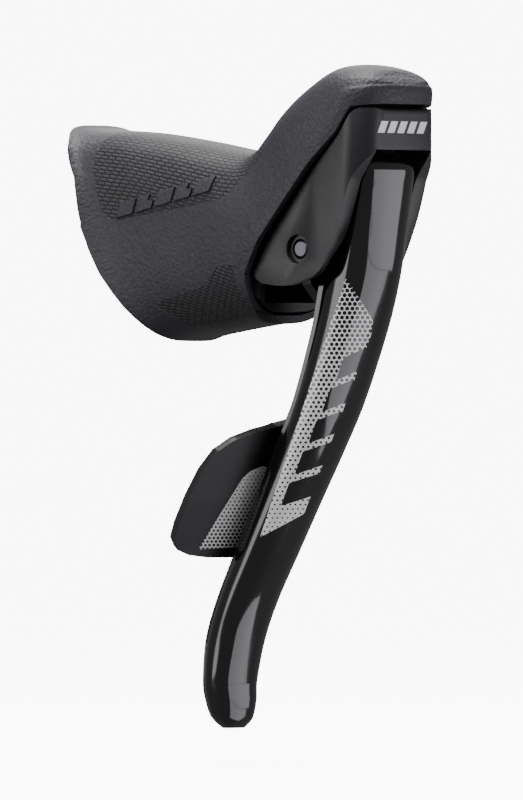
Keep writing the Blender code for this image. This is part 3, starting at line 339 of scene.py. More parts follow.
bpy.ops.object.mode_set(mode="EDIT")
bpy.ops.mesh.select_all(action="SELECT")
bpy.ops.mesh.remove_doubles(threshold=0.00001)
bpy.ops.mesh.normals_make_consistent(inside=False)
bpy.ops.mesh.select_all(action="DESELECT")
bpy.ops.object.mode_set(mode="OBJECT")
nose = HOOD_SECTIONS[-1][0] - 0.0002
for edge in hood.data.edges:
    ends = [hood.data.vertices[i].co for i in edge.vertices]
    edge.select = min(end.x for end in ends) > nose and min(end.z for end in ends) > 0.0345
bpy.ops.object.mode_set(mode="EDIT")
bpy.ops.mesh.select_mode(type="EDGE")
bpy.ops.mesh.region_to_loop()
bpy.ops.mesh.edge_face_add()
bpy.ops.object.mode_set(mode="OBJECT")
outside = sum(p.area * (p.normal.dot(p.center - Vector((0.04, 0, 0)))) for p in hood.data.polygons)
if outside < 0:
    hood.data.flip_normals()
# the opening in front follows the wing's rear edge, its low corner is cut back to let the paddle's
# arm swing past, and a low lip runs beside it
edge_line = moved_left(YOKE_REAR_EDGE, HOOD_GAP)
belly = YOKE_REAR_EDGE[0][0] - HOOD_GAP
relief_edge = belly - ARM_RELIEF_BACK
arm_relief = ((relief_edge, -0.05), (relief_edge, ARM_RELIEF_LOW), (belly, ARM_RELIEF_HIGH))
opening = [*arm_relief, (belly, edge_line[0][1] - 0.0016), (belly + 0.0003, edge_line[0][1] - 0.0002)]
opening += [*edge_line, (0.12, edge_line[-1][1]), (0.12, -0.05)]
places = vertex_places(hood)
normals = np.empty(len(hood.data.vertices) * 3)
hood.data.vertices.foreach_get("normal", normals)
from_edge = -edge_distance(opening, places[:, 0], places[:, 2])
lip = np.clip((LIP_WIDTH_MM - from_edge) / LIP_FADE_MM + 0.5, 0, 1)
lip *= np.clip((places[:, 2] - LIP_LOW_END) / LIP_LOW_FADE, 0, 1)
lip = lip * lip * (3 - 2 * lip)
hood.data.vertices.foreach_set("co", (places + normals.reshape(-1, 3) * lip[:, None] * LIP_RISE).ravel())
wall = hood.modifiers.new("wall", "SOLIDIFY")
wall.thickness = HOOD_WALL
wall.offset = -1
apply_all(hood)
cut_away(hood, plate_from_outline("hood_opening", opening, -0.03, 0.03))
round_edges(hood, 0.00055, 3, 50)
shade(hood, 60)
places = vertex_places(hood)
store_on_vertices(hood, "upper_grip", edge_distance(UPPER_GRIP, places[:, 0], places[:, 2]))
store_on_vertices(hood, "lower_grip", edge_distance(LOWER_GRIP, places[:, 0], places[:, 2]))


def calc(tree, operation, first, second=None):
    """A Math node on numbers or sockets, giving its output socket."""
    node = tree.nodes.new("ShaderNodeMath")
    node.operation = operation
    for slot, value in zip(node.inputs, (first, second)):
        if value is None:
            continue
        if isinstance(value, (int, float)):
            slot.default_value = value
        else:
            tree.links.new(value, slot)
    return node.outputs[0]


def vertex_value(tree, name):
    node = tree.nodes.new("ShaderNodeAttribute")
    node.attribute_name = name
    return node.outputs["Fac"]


def step_up(tree, value, start, end):
    """0 below start and 1 above end, smooth between."""
    node = tree.nodes.new("ShaderNodeMapRange")
    node.interpolation_type = "SMOOTHSTEP"
    node.inputs["From Min"].default_value = start
    node.inputs["From Max"].default_value = end
    tree.links.new(value, node.inputs["Value"])
    return node.outputs["Result"]


def noise(tree, scale, detail=3.0, stretch=(1, 1, 1)):
    """Noise on the piece's own place in metres, giving its value socket."""
    place = tree.nodes.new("ShaderNodeTexCoord")
    mapping = tree.nodes.new("ShaderNodeMapping")
    mapping.inputs["Scale"].default_value = stretch
    tree.links.new(place.outputs["Object"], mapping.inputs["Vector"])
    made = tree.nodes.new("ShaderNodeTexNoise")
    made.inputs["Scale"].default_value = scale
    made.inputs["Detail"].default_value = detail
    tree.links.new(mapping.outputs["Vector"], made.inputs["Vector"])
    return made.outputs["Fac"]


def blend_colours(tree, share, first, second):
    """Colour between two colours or sockets."""
    node = tree.nodes.new("ShaderNodeMix")
    node.data_type = "RGBA"
    tree.links.new(share, node.inputs["Factor"])
    for slot, value in ((node.inputs[6], first), (node.inputs[7], second)):
        if isinstance(value, tuple):
            slot.default_value = (*value, 1)
        else:
            tree.links.new(value, slot)
    return node.outputs[2]


def raise_surface(tree, height, depth, strength=1.0):
    """A Bump node for a height of 0 to 1, worth depth in metres."""
    bump = tree.nodes.new("ShaderNodeBump")
    bump.inputs["Strength"].default_value = strength
    bump.inputs["Distance"].default_value = depth
    tree.links.new(height, bump.inputs["Height"])
    return bump.outputs["Normal"]


def bricks(tree, uv_map, width, row, gap):
    """1 on each brick and 0 in the gaps, in the units of the piece's own lengths."""
    lengths_node = tree.nodes.new("ShaderNodeUVMap")
    lengths_node.uv_map = uv_map
    pattern = tree.nodes.new("ShaderNodeTexBrick")
    pattern.offset = 0.5
    pattern.inputs["Scale"].default_value = 1.0
    pattern.inputs["Mortar Size"].default_value = gap
    pattern.inputs["Mortar Smooth"].default_value = 0.6
    pattern.inputs["Brick Width"].default_value = width
    pattern.inputs["Row Height"].default_value = row
    tree.links.new(lengths_node.outputs["UV"], pattern.inputs["Vector"])
    return calc(tree, "SUBTRACT", 1.0, pattern.outputs["Fac"])


def principled(name, colour, roughness, metallic=0.0):
    made = bpy.data.materials.new(name)
    made.use_nodes = True
    node = made.node_tree.nodes["Principled BSDF"]
    node.inputs["Base Color"].default_value = (*colour, 1)
    node.inputs["Roughness"].default_value = roughness
    node.inputs["Metallic"].default_value = metallic
    return made, made.node_tree, node


HOOD_COLOUR = (0.021, 0.019, 0.025)
HOOD_LIGHT = (0.030, 0.027, 0.034)
# painted shade: the near-black colour laid into the grooves between the scales and blocks
HOOD_GROOVE_SHADE = (0.004, 0.004, 0.005)
rubber, tree, shader = principled("hood_rubber", HOOD_COLOUR, 0.62)
upper = step_up(tree, vertex_value(tree, "upper_grip"), 0.0, 0.25)
lower = step_up(tree, vertex_value(tree, "lower_grip"), 0.0, 0.25)
scales = bricks(tree, "surface_mm", 2.1, 1.16, 0.30)
blocks = bricks(tree, "surface_mm", 1.9, 1.15, 0.30)
upper_gaps = calc(tree, "MULTIPLY", calc(tree, "SUBTRACT", 1.0, scales), upper)
lower_gaps = calc(tree, "MULTIPLY", calc(tree, "SUBTRACT", 1.0, blocks), lower)
gaps = calc(tree, "MAXIMUM", upper_gaps, lower_gaps)
fine = noise(tree, 2600.0, 2.0)
cloud = noise(tree, 60.0, 4.0)
place = tree.nodes.new("ShaderNodeTexCoord")
pebbles = tree.nodes.new("ShaderNodeTexVoronoi")
pebbles.feature = "SMOOTH_F1"
pebbles.inputs["Scale"].default_value = 1150.0
pebbles.inputs["Smoothness"].default_value = 0.6
tree.links.new(place.outputs["Object"], pebbles.inputs["Vector"])
smooth_skin = calc(tree, "SUBTRACT", 1.0, calc(tree, "MAXIMUM", upper, lower))
leather = calc(tree, "MULTIPLY", calc(tree, "MULTIPLY", pebbles.outputs["Distance"], smooth_skin), -0.42)
worn = blend_colours(tree, cloud, HOOD_COLOUR, HOOD_LIGHT)
# painted shade in the grooves: the gaps between the scales and blocks are darkened almost to black, as shade
# falling in them
colour_with_groove_shade = blend_colours(tree, calc(tree, "MULTIPLY", gaps, 0.9), worn, HOOD_GROOVE_SHADE)
tree.links.new(colour_with_groove_shade, shader.inputs["Base Color"])
height = calc(tree, "ADD", calc(tree, "SUBTRACT", 1.0, gaps), calc(tree, "MULTIPLY", fine, 0.14))
height = calc(tree, "ADD", height, leather)
tree.links.new(raise_surface(tree, height, 0.00036), shader.inputs["Normal"])
rough = calc(tree, "ADD", 0.44, calc(tree, "MULTIPLY", cloud, 0.16))
tree.links.new(rough, shader.inputs["Roughness"])
shader.inputs["Specular IOR Level"].default_value = 0.5
hood.data.materials.append(rubber)
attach(hood, "bracket")
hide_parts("hood")


# ---------------------------------------------------------------------------------------------
# Raised blocks on the hood's sides. Five slanted pads moulded with the rubber, along the lower
# edge of the upper grip, standing a little proud of it.
# ---------------------------------------------------------------------------------------------
BLOCK_START = (0.0098, 0.0019)
BLOCK_END = (0.0400, 0.0084)
BLOCK_COUNT = 5
BLOCK_HEIGHT = 0.0039
BLOCK_LEAN = 0.0012
BLOCK_SPACE = 0.0011
BLOCK_RISE = 0.00045

hood_tree = BVHTree.FromObject(hood, bpy.context.evaluated_depsgraph_get())
line = Vector(BLOCK_END) - Vector(BLOCK_START)
pitch = (line.length + BLOCK_SPACE) / BLOCK_COUNT
along = line.normalized()
for side in (-1, 1):
    for number in range(BLOCK_COUNT):
        bpy.ops.object.select_all(action="DESELECT")
        bpy.ops.mesh.primitive_grid_add(x_subdivisions=16, y_subdivisions=10, size=1)
        block = bpy.context.object
        block.name = f"hood_block_{'left' if side > 0 else 'right'}_{number + 1}"
        notch = 0.35 if number % 2 else 0.0
        for vertex in block.data.vertices:
            share = vertex.co.y + 0.5
            length = (vertex.co.x + 0.5) * (pitch - BLOCK_SPACE) * (1 - notch * (share > 0.55))
            length += number * pitch
            x = BLOCK_START[0] + along.x * length + BLOCK_LEAN * share
            z = BLOCK_START[1] + along.y * length + BLOCK_HEIGHT * share
            hit = hood_tree.ray_cast(Vector((x, side * 0.05, z)), Vector((0, -side, 0)))[0]
            vertex.co = (x, hit.y + side * BLOCK_RISE, z)
        if block.data.polygons[0].normal.y * side < 0:
            block.data.flip_normals()
        pad = block.modifiers.new("pad", "SOLIDIFY")
        pad.thickness = BLOCK_RISE * 2
        pad.offset = -1
        apply_all(block)
        round_edges(block, 0.00014, 2)
        shade(block)
        block.data.materials.append(bpy.data.materials["hood_rubber"])
        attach(block, "bracket")


# ---------------------------------------------------------------------------------------------
# Lever yoke. Two wings and the front cap in one glass-filled nylon moulding with a fine satin
# skin. It turns on the pivot pin and carries the blade in its window.
# ---------------------------------------------------------------------------------------------
YOKE_FRONT_EDGE = ((0.0906, 0.01825), (0.0853, 0.0110), (0.0820, 0.0010), (0.0789, -0.0060))
YOKE_BOTTOM_EDGE = ((0.0755, -0.0124), (0.0643, -0.01575), (0.0560, -0.0147))
WING_INNER = 0.0128
WING_OUTER = 0.0147
CAP_CORNER_RADIUS = 0.0080
CAP_WALL = 0.0022
FLANGE_REAR = 0.0775
WINDOW_HALF_WIDTH = 0.01025
BRAKE_PIVOT = (0.0680, -0.00625)
PIN_HOLE_RADIUS = 0.0036


def round_corners(points, radii, steps=6):
    """A closed outline with its corners rounded, one radius for each point."""
    made = []
    for i, point in enumerate(points):
        here = Vector(point)
        before = (Vector(points[i - 1]) - here)
        after = (Vector(points[(i + 1) % len(points)]) - here)
        room = min(before.length, after.length) * 0.48
        turn = before.angle(after)
        back = min(radii[i] / math.tan(turn / 2), room)
        if back < 0.00005 or turn > math.radians(178):
            made.append(tuple(here))
            continue
        start = here + before.normalized() * back
        end = here + after.normalized() * back
        for k in range(steps + 1):
            t = k / steps
            made.append(tuple(start * (1 - t) ** 2 + here * 2 * t * (1 - t) + end * t ** 2))
    return made


def arc_points(centre, radius, start, end, count):
    turns = np.radians(np.linspace(start, end, count))
    return [(centre[0] + radius * math.cos(a), centre[1] + radius * math.sin(a)) for a in turns]


def drill(obj, place, radius, reach=0.03):
    """A round hole along Y through a place given in X and Z."""
    hole = plate_from_outline("drill", arc_points(place, radius, 0, 354.375, 64), -reach, reach)
    cut_away(obj, hole)


outline = [*YOKE_REAR_EDGE, *YOKE_FRONT_EDGE, *YOKE_BOTTOM_EDGE]
radii = [0.0020, 0.02, 0.04, 0.03, 0.02, 0.0040, 0.0016, 0.0035, 0.006, 0.03, 0.02, 0.008, 0.02, 0.0030]
yoke = plate_from_outline("yoke_and_cap", round_corners(outline, radii), -WING_OUTER, WING_OUTER)
front = YOKE_REAR_EDGE[-1][0]
corner = (front - CAP_CORNER_RADIUS, WING_OUTER - CAP_CORNER_RADIUS)
plan = [(0.03, -WING_OUTER), *arc_points((corner[0], -corner[1]), CAP_CORNER_RADIUS, -90, 0, 24)]
plan += [*arc_points(corner, CAP_CORNER_RADIUS, 0, 90, 24), (0.03, WING_OUTER)]
cut_away(yoke, plate_from_outline("plan", plan, -0.06, 0.06, "Z"), "INTERSECT")
round_edges(yoke, 0.0011, 4, 38)
step = WING_INNER - WINDOW_HALF_WIDTH
inner_line = [(0.02, -WING_INNER), (FLANGE_REAR, -WING_INNER), (FLANGE_REAR + step, -WINDOW_HALF_WIDTH)]
for name, reach, top in (("hollow", front - CAP_WALL, 0.0266), ("window", front + 0.02, 0.01825)):
    half_line = [*inner_line, (reach, -WINDOW_HALF_WIDTH)]
    both = half_line + [(x, -y) for x, y in reversed(half_line)]
    cut_away(yoke, plate_from_outline(name, both, -0.05, top, "Z"))
drill(yoke, BRAKE_PIVOT, PIN_HOLE_RADIUS)
round_edges(yoke, 0.00028, 2, 50)
shade(yoke, 42)

SATIN_COLOUR = (0.010, 0.010, 0.012)
satin, tree, shader = principled("satin_nylon", SATIN_COLOUR, 0.42)
grain = noise(tree, 3800.0, 2.0)
cloud = noise(tree, 90.0, 3.0)
tree.links.new(blend_colours(tree, cloud, SATIN_COLOUR, (0.015, 0.015, 0.018)), shader.inputs["Base Color"])
tree.links.new(calc(tree, "ADD", 0.33, calc(tree, "MULTIPLY", cloud, 0.16)), shader.inputs["Roughness"])
tree.links.new(raise_surface(tree, grain, 0.00003, 0.8), shader.inputs["Normal"])
yoke.data.materials.append(satin)

# The cap's mark: five slanted bars printed in white over the cap's inboard corner
MARK_TURN = (math.cos(VIEW_TURN), math.sin(VIEW_TURN), 0)
MARK_START = 0.0606
MARK_END = 0.0728
MARK_LOW = 0.0224
MARK_HIGH = 0.0253
MARK_BARS = 5
marked = satin.copy()
marked.name = "satin_nylon_with_mark"
tree = marked.node_tree
place = tree.nodes.new("ShaderNodeTexCoord")
turned = tree.nodes.new("ShaderNodeVectorMath")
turned.operation = "DOT_PRODUCT"
turned.inputs[1].default_value = MARK_TURN
tree.links.new(place.outputs["Object"], turned.inputs[0])
split = tree.nodes.new("ShaderNodeSeparateXYZ")
tree.links.new(place.outputs["Object"], split.inputs[0])
lean = calc(tree, "MULTIPLY", calc(tree, "SUBTRACT", split.outputs["Z"], MARK_LOW), 0.35)
run = calc(tree, "SUBTRACT", calc(tree, "SUBTRACT", turned.outputs["Value"], MARK_START), lean)
bar = calc(tree, "MULTIPLY", run, MARK_BARS / (MARK_END - MARK_START))
solid = calc(tree, "LESS_THAN", calc(tree, "FRACT", bar), 0.70)
within = calc(tree, "MULTIPLY", calc(tree, "GREATER_THAN", bar, 0.0),
              calc(tree, "LESS_THAN", bar, float(MARK_BARS)))
level = calc(tree, "MULTIPLY", calc(tree, "GREATER_THAN", split.outputs["Z"], MARK_LOW),
             calc(tree, "LESS_THAN", split.outputs["Z"], MARK_HIGH))
ink = calc(tree, "MULTIPLY", calc(tree, "MULTIPLY", solid, within), level)
shader = tree.nodes["Principled BSDF"]
base = shader.inputs["Base Color"].links[0].from_socket
tree.links.new(blend_colours(tree, ink, base, (0.90, 0.90, 0.90)), shader.inputs["Base Color"])
yoke.data.materials.append(marked)
for face in yoke.data.polygons:
    toward = face.normal.dot(Vector((math.sin(VIEW_TURN), -math.cos(VIEW_TURN), 0)))
    if face.center.z > 0.018 and face.center.x > 0.080 and toward > 0.15:
        face.material_index = 1
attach(yoke, "brake_lever")
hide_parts("lever_yoke")


# ---------------------------------------------------------------------------------------------
# Brake blade. A cast lever in deep gloss black lacquer, crowned in front and open behind, with
# a white dotted print wrapped over its inboard corner.
# ---------------------------------------------------------------------------------------------
BLADE_ROWS = np.array((
    # height, front, rear, half width
    (0.0176, 0.0856, 0.0808, 0.0082),
    (0.0140, 0.0880, 0.0795, 0.0094),
    (0.0080, 0.0875, 0.0770, 0.0096),
    (-0.0020, 0.0860, 0.0740, 0.0096),
    (-0.0138, 0.0841, 0.0693, 0.0096),
    (-0.0264, 0.0800, 0.0662, 0.0096),
    (-0.0439, 0.0726, 0.0598, 0.0093),
    (-0.0563, 0.0659, 0.0533, 0.0090),
    (-0.0688, 0.0585, 0.0467, 0.0087),
    (-0.0813, 0.0513, 0.0398, 0.0084),
    (-0.0938, 0.0441, 0.0332, 0.0081),
    (-0.1038, 0.0399, 0.0292, 0.0077),
    (-0.1138, 0.0373, 0.0280, 0.0074),
    (-0.1190, 0.0373, 0.0284, 0.0069),
    (-0.1235, 0.0368, 0.0295, 0.0056),
    (-0.1260, 0.0352, 0.0318, 0.0032),
))
BLADE_WALL = 0.0016
BLADE_SQUARENESS = 2.9
BLADE_ALONG = 260
BLADE_AROUND = 72
CHANNEL_END = -0.1058
PRINT_EDGE = (
    # place across the turned plane, height
    (0.05275, -0.0135), (0.0596, -0.0240), (0.0591, -0.0277), (0.0425, -0.0722), (0.0315, -0.0780),
)
PRINT_BLOCKS = 5
OUTER_SKIN = 0.985
BLADE_DOT_PITCH = 0.00128


def blade_section(row, channel):
    """One closed section: round the outside from the rear, then back along the channel."""
    height, front, rear, half_width = row
    outer_turns = np.linspace(-math.pi + 0.42, math.pi - 0.42, BLADE_AROUND)
    x = (front + rear) / 2 + (front - rear) / 2 * rounded_power(outer_turns, BLADE_SQUARENESS)
    y = half_width * rounded_power(outer_turns - math.pi / 2, BLADE_SQUARENESS)
    inner_half = np.maximum(half_width - BLADE_WALL, 0.0004)
    back = x[0]
    deep = front - BLADE_WALL - back
    inner_turns = np.linspace(math.pi / 2, -math.pi / 2, BLADE_AROUND)
    inner_x = back + deep * channel * rounded_power(inner_turns, 5.0)
    inner_y = inner_half * rounded_power(inner_turns - math.pi / 2, 5.0)
    return np.column_stack((np.append(x, inner_x), np.append(y, inner_y), np.full(2 * BLADE_AROUND, height)))


bpy.ops.object.select_all(action="DESELECT")
bpy.ops.mesh.primitive_grid_add(x_subdivisions=BLADE_ALONG, y_subdivisions=2 * BLADE_AROUND, size=1)
blade = bpy.context.object
blade.name = "gloss_blade"
flat = vertex_places(blade).reshape(2 * BLADE_AROUND + 1, BLADE_ALONG + 1, 3)
spots = np.linspace(0, len(BLADE_ROWS) - 1, BLADE_ALONG + 1)
blade_rows = smooth_rows(BLADE_ROWS, spots)
for number, row in enumerate(blade_rows):
    fade = np.clip((row[0] - CHANNEL_END) / 0.010, 0.02, 1)
    top_fade = np.clip((0.0150 - row[0]) / 0.0012, 0.02, 1)
    section = blade_section(row, math.sqrt(fade * top_fade))
    flat[:, number] = np.vstack((section, section[:1]))
blade.data.vertices.foreach_set("co", flat.reshape(-1))
bpy.ops.object.mode_set(mode="EDIT")
bpy.ops.mesh.select_all(action="SELECT")
bpy.ops.mesh.remove_doubles(threshold=0.000004)
bpy.ops.mesh.select_all(action="DESELECT")
bpy.ops.mesh.select_mode(type="EDGE")
bpy.ops.mesh.select_non_manifold()
bpy.ops.mesh.edge_face_add()
bpy.ops.mesh.select_all(action="SELECT")
bpy.ops.mesh.normals_make_consistent(inside=False)
bpy.ops.object.mode_set(mode="OBJECT")
shade(blade, 40)
places = vertex_places(blade)
across = places @ np.array(image_right)
store_on_vertices(blade, "print_edge", edge_distance(PRINT_EDGE, across, places[:, 2]))
cuts = np.full(len(places), -50.0)
top = np.array((0.0577, -0.0300))
end = np.array((0.0438, -0.0690))
for number in range(PRINT_BLOCKS):
    a = top + (end - top) * (number + 0.08) / PRINT_BLOCKS
    b = top + (end - top) * (number + 0.82) / PRINT_BLOCKS
    wide = 0.0052 + 0.0006 * number
    shape = ((a[0] + 0.0006, a[1]), (a[0] - wide, a[1] - 0.0026),
             (b[0] - wide, b[1] - 0.0026), (b[0] + 0.0006, b[1]))
    cuts = np.maximum(cuts, edge_distance(shape, across, places[:, 2]))
store_on_vertices(blade, "print_blocks", cuts)
normals = np.empty(len(places) * 3)
blade.data.vertices.foreach_get("normal", normals)
facing = normals.reshape(-1, 3) @ np.array((math.sin(VIEW_TURN), -math.cos(VIEW_TURN), 0))
# the print is held back to the outer skin, though flecks of it still show just inside the
# open channel's rim
front, rear, half_width = (
    np.interp(-places[:, 2], -blade_rows[:, 0], blade_rows[:, column]) for column in (1, 2, 3)
)
ahead = np.abs(places[:, 0] - (front + rear) / 2) / ((front - rear) / 2)
aside = np.abs(places[:, 1]) / half_width
from_axis = (ahead ** BLADE_SQUARENESS + aside ** BLADE_SQUARENESS) ** (1 / BLADE_SQUARENESS)
store_on_vertices(blade, "print_side", np.where(from_axis > OUTER_SKIN, facing, -1.0))


def by_height(tree, low, at_low, high, at_high):
    """A value that changes evenly with height on the piece, between two heights."""
    place = tree.nodes.new("ShaderNodeTexCoord")
    split = tree.nodes.new("ShaderNodeSeparateXYZ")
    tree.links.new(place.outputs["Object"], split.inputs[0])
    grow = tree.nodes.new("ShaderNodeMapRange")
    for key, value in (("From Min", low), ("From Max", high), ("To Min", at_low), ("To Max", at_high)):
        grow.inputs[key].default_value = value
    tree.links.new(split.outputs["Z"], grow.inputs["Value"])
    return grow.outputs["Result"]


def dot_mesh(tree, pitch, radius):
    """1 between round dots set in a hexagonal pattern on the turned plane, 0 on the dots."""
    place = tree.nodes.new("ShaderNodeTexCoord")
    turned = tree.nodes.new("ShaderNodeVectorMath")
    turned.operation = "DOT_PRODUCT"
    turned.inputs[1].default_value = (math.cos(VIEW_TURN), math.sin(VIEW_TURN), 0)
    tree.links.new(place.outputs["Object"], turned.inputs[0])
    split = tree.nodes.new("ShaderNodeSeparateXYZ")
    tree.links.new(place.outputs["Object"], split.inputs[0])
    first = calc(tree, "DIVIDE", turned.outputs["Value"], pitch)
    second = calc(tree, "DIVIDE", split.outputs["Z"], pitch * math.sqrt(3))
    nearest = None
    for shift in (0.0, 0.5):
        dx = calc(tree, "SUBTRACT", calc(tree, "FRACT", calc(tree, "ADD", first, 20 + shift)), 0.5)
        dy = calc(tree, "SUBTRACT", calc(tree, "FRACT", calc(tree, "ADD", second, 200 + shift)), 0.5)
        dy = calc(tree, "MULTIPLY", dy, math.sqrt(3))
        squared = calc(tree, "ADD", calc(tree, "MULTIPLY", dx, dx), calc(tree, "MULTIPLY", dy, dy))
        away = calc(tree, "SQRT", squared)
        nearest = away if nearest is None else calc(tree, "MINIMUM", nearest, away)
    return calc(tree, "GREATER_THAN", nearest, radius)


LACQUER = (0.0040, 0.0040, 0.0046)
INK = (0.88, 0.88, 0.87)
lacquer, tree, shader = principled("gloss_lacquer", LACQUER, 0.10)
mesh_lines = dot_mesh(tree, BLADE_DOT_PITCH, by_height(tree, -0.075, 0.17, -0.014, 0.43))
in_print = calc(tree, "GREATER_THAN", vertex_value(tree, "print_edge"), 0.0)
facing_print = calc(tree, "GREATER_THAN", vertex_value(tree, "print_side"), 0.08)
outside_blocks = calc(tree, "LESS_THAN", vertex_value(tree, "print_blocks"), 0.0)
ink = calc(tree, "MULTIPLY", calc(tree, "MULTIPLY", in_print, facing_print),
           calc(tree, "MULTIPLY", outside_blocks, mesh_lines))
cloud = noise(tree, 45.0, 3.0)
deep = blend_colours(tree, cloud, LACQUER, (0.0055, 0.0053, 0.0060))
tree.links.new(blend_colours(tree, ink, deep, INK), shader.inputs["Base Color"])
soft = calc(tree, "ADD", 0.07, calc(tree, "MULTIPLY", cloud, 0.07))
tree.links.new(calc(tree, "ADD", soft, calc(tree, "MULTIPLY", ink, 0.22)), shader.inputs["Roughness"])
orange_peel = noise(tree, 420.0, 1.0)
tree.links.new(raise_surface(tree, orange_peel, 0.00002, 0.25), shader.inputs["Normal"])
shader.inputs["Coat Weight"].default_value = 0.6
shader.inputs["Coat Roughness"].default_value = 0.04
blade.data.materials.append(lacquer)
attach(blade, "brake_lever")
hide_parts("brake_blade")


# ---------------------------------------------------------------------------------------------
# Shift paddle. A satin black moulding behind the blade, raked back towards its inboard edge,
# with its own dotted print.
# ---------------------------------------------------------------------------------------------
PADDLE_TOP = -0.0495
PADDLE_BOTTOM = -0.0832
PADDLE_OUTER_EDGE = 0.0074
PADDLE_GAP = 0.0022
PADDLE_RAKE = 0.0058
PADDLE_RAKE_START = -0.0070
PADDLE_THICKNESS = 0.0022
PADDLE_RAKE_REACH = 0.018
PADDLE_DOT_PITCH = 0.00105
PADDLE_EDGE = np.array((
    # share of the height from the top, inboard edge
    (0.00, -0.0020), (0.03, -0.0070), (0.07, -0.0125), (0.13, -0.0175), (0.22, -0.0210),
    (0.36, -0.0228), (0.55, -0.0236), (0.75, -0.0236), (0.87, -0.0230), (0.94, -0.0210),
    (0.98, -0.0175), (1.00, -0.0120),
))
PADDLE_PRINT = (
    (0.0322, -0.0602), (0.0292, -0.0614), (0.0272, -0.0632), (0.0160, -0.0812), (0.0246, -0.0806),
    (0.0400, -0.0806), (0.0440, -0.0640),
)
ACROSS = 60
DOWN = 90
bpy.ops.object.select_all(action="DESELECT")
bpy.ops.mesh.primitive_grid_add(x_subdivisions=ACROSS, y_subdivisions=DOWN, size=1)
paddle = bpy.context.object
paddle.name = "paddle_blade"
flat = vertex_places(paddle)
drop = (1 - np.cos((flat[:, 1] + 0.5) * math.pi)) / 2
inner = np.interp(drop, PADDLE_EDGE[:, 0], PADDLE_EDGE[:, 1])
ramp = flat[:, 0] + 0.5
y = PADDLE_OUTER_EDGE + (inner - PADDLE_OUTER_EDGE) * ramp
z = PADDLE_TOP + (PADDLE_BOTTOM - PADDLE_TOP) * drop
rear = np.interp(-z, -BLADE_ROWS[:, 0], BLADE_ROWS[:, 2])
beyond = np.maximum(0, PADDLE_RAKE_START - y) / PADDLE_RAKE_REACH
x = rear - PADDLE_GAP - PADDLE_RAKE * beyond ** 1.25
paddle.data.vertices.foreach_set("co", np.column_stack((x, y, z)).ravel())
if paddle.data.polygons[0].normal.x < 0:
    paddle.data.flip_normals()
thick = paddle.modifiers.new("thick", "SOLIDIFY")
thick.thickness = PADDLE_THICKNESS
thick.offset = -1
apply_all(paddle)
round_edges(paddle, 0.0008, 4, 50)
shade(paddle, 50)
places = vertex_places(paddle)
across = places @ np.array(image_right)
store_on_vertices(paddle, "print_edge", edge_distance(PADDLE_PRINT, across, places[:, 2]))
normals = np.empty(len(places) * 3)
paddle.data.vertices.foreach_get("normal", normals)
store_on_vertices(paddle, "print_side", normals.reshape(-1, 3)[:, 0])

resin, tree, shader = principled("paddle_resin", SATIN_COLOUR, 0.36)
mesh_lines = dot_mesh(tree, PADDLE_DOT_PITCH, by_height(tree, -0.081, 0.36, -0.060, 0.10))
in_print = calc(tree, "GREATER_THAN", vertex_value(tree, "print_edge"), 0.0)
facing_print = calc(tree, "GREATER_THAN", vertex_value(tree, "print_side"), 0.3)
ink = calc(tree, "MULTIPLY", calc(tree, "MULTIPLY", in_print, facing_print), mesh_lines)
cloud = noise(tree, 80.0, 3.0)
deep = blend_colours(tree, cloud, (0.008, 0.008, 0.009), (0.012, 0.012, 0.014))
tree.links.new(blend_colours(tree, ink, deep, (0.80, 0.80, 0.79)), shader.inputs["Base Color"])
tree.links.new(calc(tree, "ADD", 0.30, calc(tree, "MULTIPLY", cloud, 0.14)), shader.inputs["Roughness"])
tree.links.new(raise_surface(tree, noise(tree, 3000.0, 2.0), 0.00002, 0.6), shader.inputs["Normal"])
paddle.data.materials.append(resin)
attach(paddle, "paddle")
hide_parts("shift_paddle")


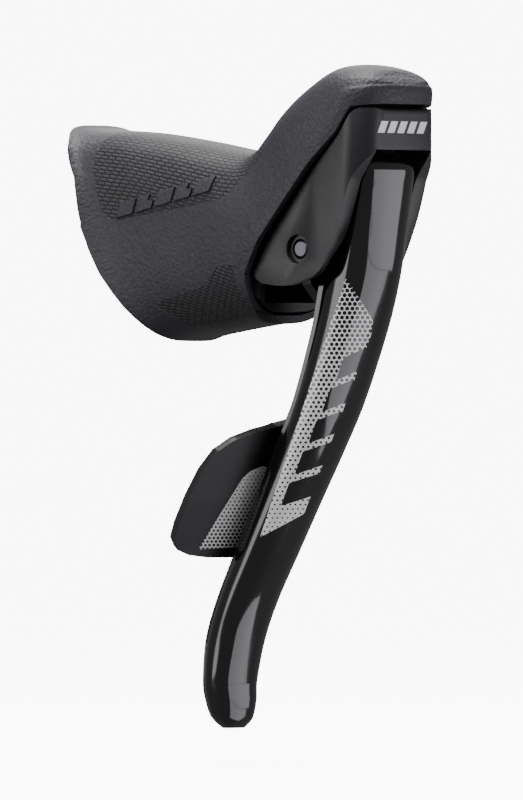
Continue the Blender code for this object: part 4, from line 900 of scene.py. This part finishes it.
# ---------------------------------------------------------------------------------------------
# Metal, resin and spring parts of the frame. They keep their shapes, and take the finishes of
# turned steel, stamped steel, moulded resin and oiled spring wire.
# ---------------------------------------------------------------------------------------------
def brushed(name, colour, roughness, metallic, scale, stretch):
    """A finish with fine lines from its making and cloudy colour."""
    made, tree, shader = principled(name, colour, roughness, metallic)
    lines = noise(tree, scale, 2.0, stretch)
    cloud = noise(tree, 120.0, 3.0)
    darker = tuple(c * 0.72 for c in colour)
    tree.links.new(blend_colours(tree, cloud, darker, colour), shader.inputs["Base Color"])
    rough = calc(tree, "ADD", roughness - 0.08, calc(tree, "MULTIPLY", lines, 0.16))
    tree.links.new(rough, shader.inputs["Roughness"])
    tree.links.new(raise_surface(tree, lines, 0.00002, 0.5), shader.inputs["Normal"])
    return made


turned_steel = brushed("turned_steel", (0.42, 0.42, 0.44), 0.34, 1.0, 900.0, (1, 6, 6))
pin_steel = brushed("pin_steel", (0.15, 0.15, 0.17), 0.36, 1.0, 900.0, (1, 6, 6))
stamped_steel = brushed("stamped_steel", (0.10, 0.10, 0.11), 0.42, 1.0, 700.0, (1, 1, 4))
band_steel = brushed("band_steel", (0.50, 0.50, 0.51), 0.30, 1.0, 800.0, (1, 1, 5))
spring_wire = brushed("spring_wire", (0.20, 0.20, 0.21), 0.36, 1.0, 1500.0, (1, 1, 1))
bracket_resin = brushed("bracket_resin", (0.012, 0.012, 0.013), 0.55, 0.0, 2400.0, (1, 1, 1))
spool_resin = brushed("spool_resin", (0.62, 0.61, 0.57), 0.45, 0.0, 1400.0, (1, 1, 1))
bearing_polymer = brushed("bearing_polymer", (0.012, 0.012, 0.013), 0.40, 0.0, 1800.0, (1, 1, 1))
FINISHES = {
    turned_steel: ("clamp_bolt", "ratchet_shaft", "shaft_clip", "pawl_pin", "blade_pin", "cable_anchor",
                   "drive_pawl_stud", "paddle_pin", "brake_housing_stop", "shift_housing_stop"),
    pin_steel: ("brake_pivot_pin",),
    band_steel: ("clamp_band", "clamp_nut_plate"),
    stamped_steel: ("shift_carrier", "drive_pawl", "paddle_arm", "ratchet_wheel", "holding_pawl"),
    spring_wire: ("brake_return_spring", "spool_return_spring", "carrier_return_spring"),
    bracket_resin: ("bracket_body",),
    spool_resin: ("cable_spool",),
    bearing_polymer: ("pivot_bush_left", "pivot_bush_right"),
}
for finish, names in FINISHES.items():
    for name in names:
        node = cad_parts[name]
        node.data.materials.clear()
        node.data.materials.append(finish)
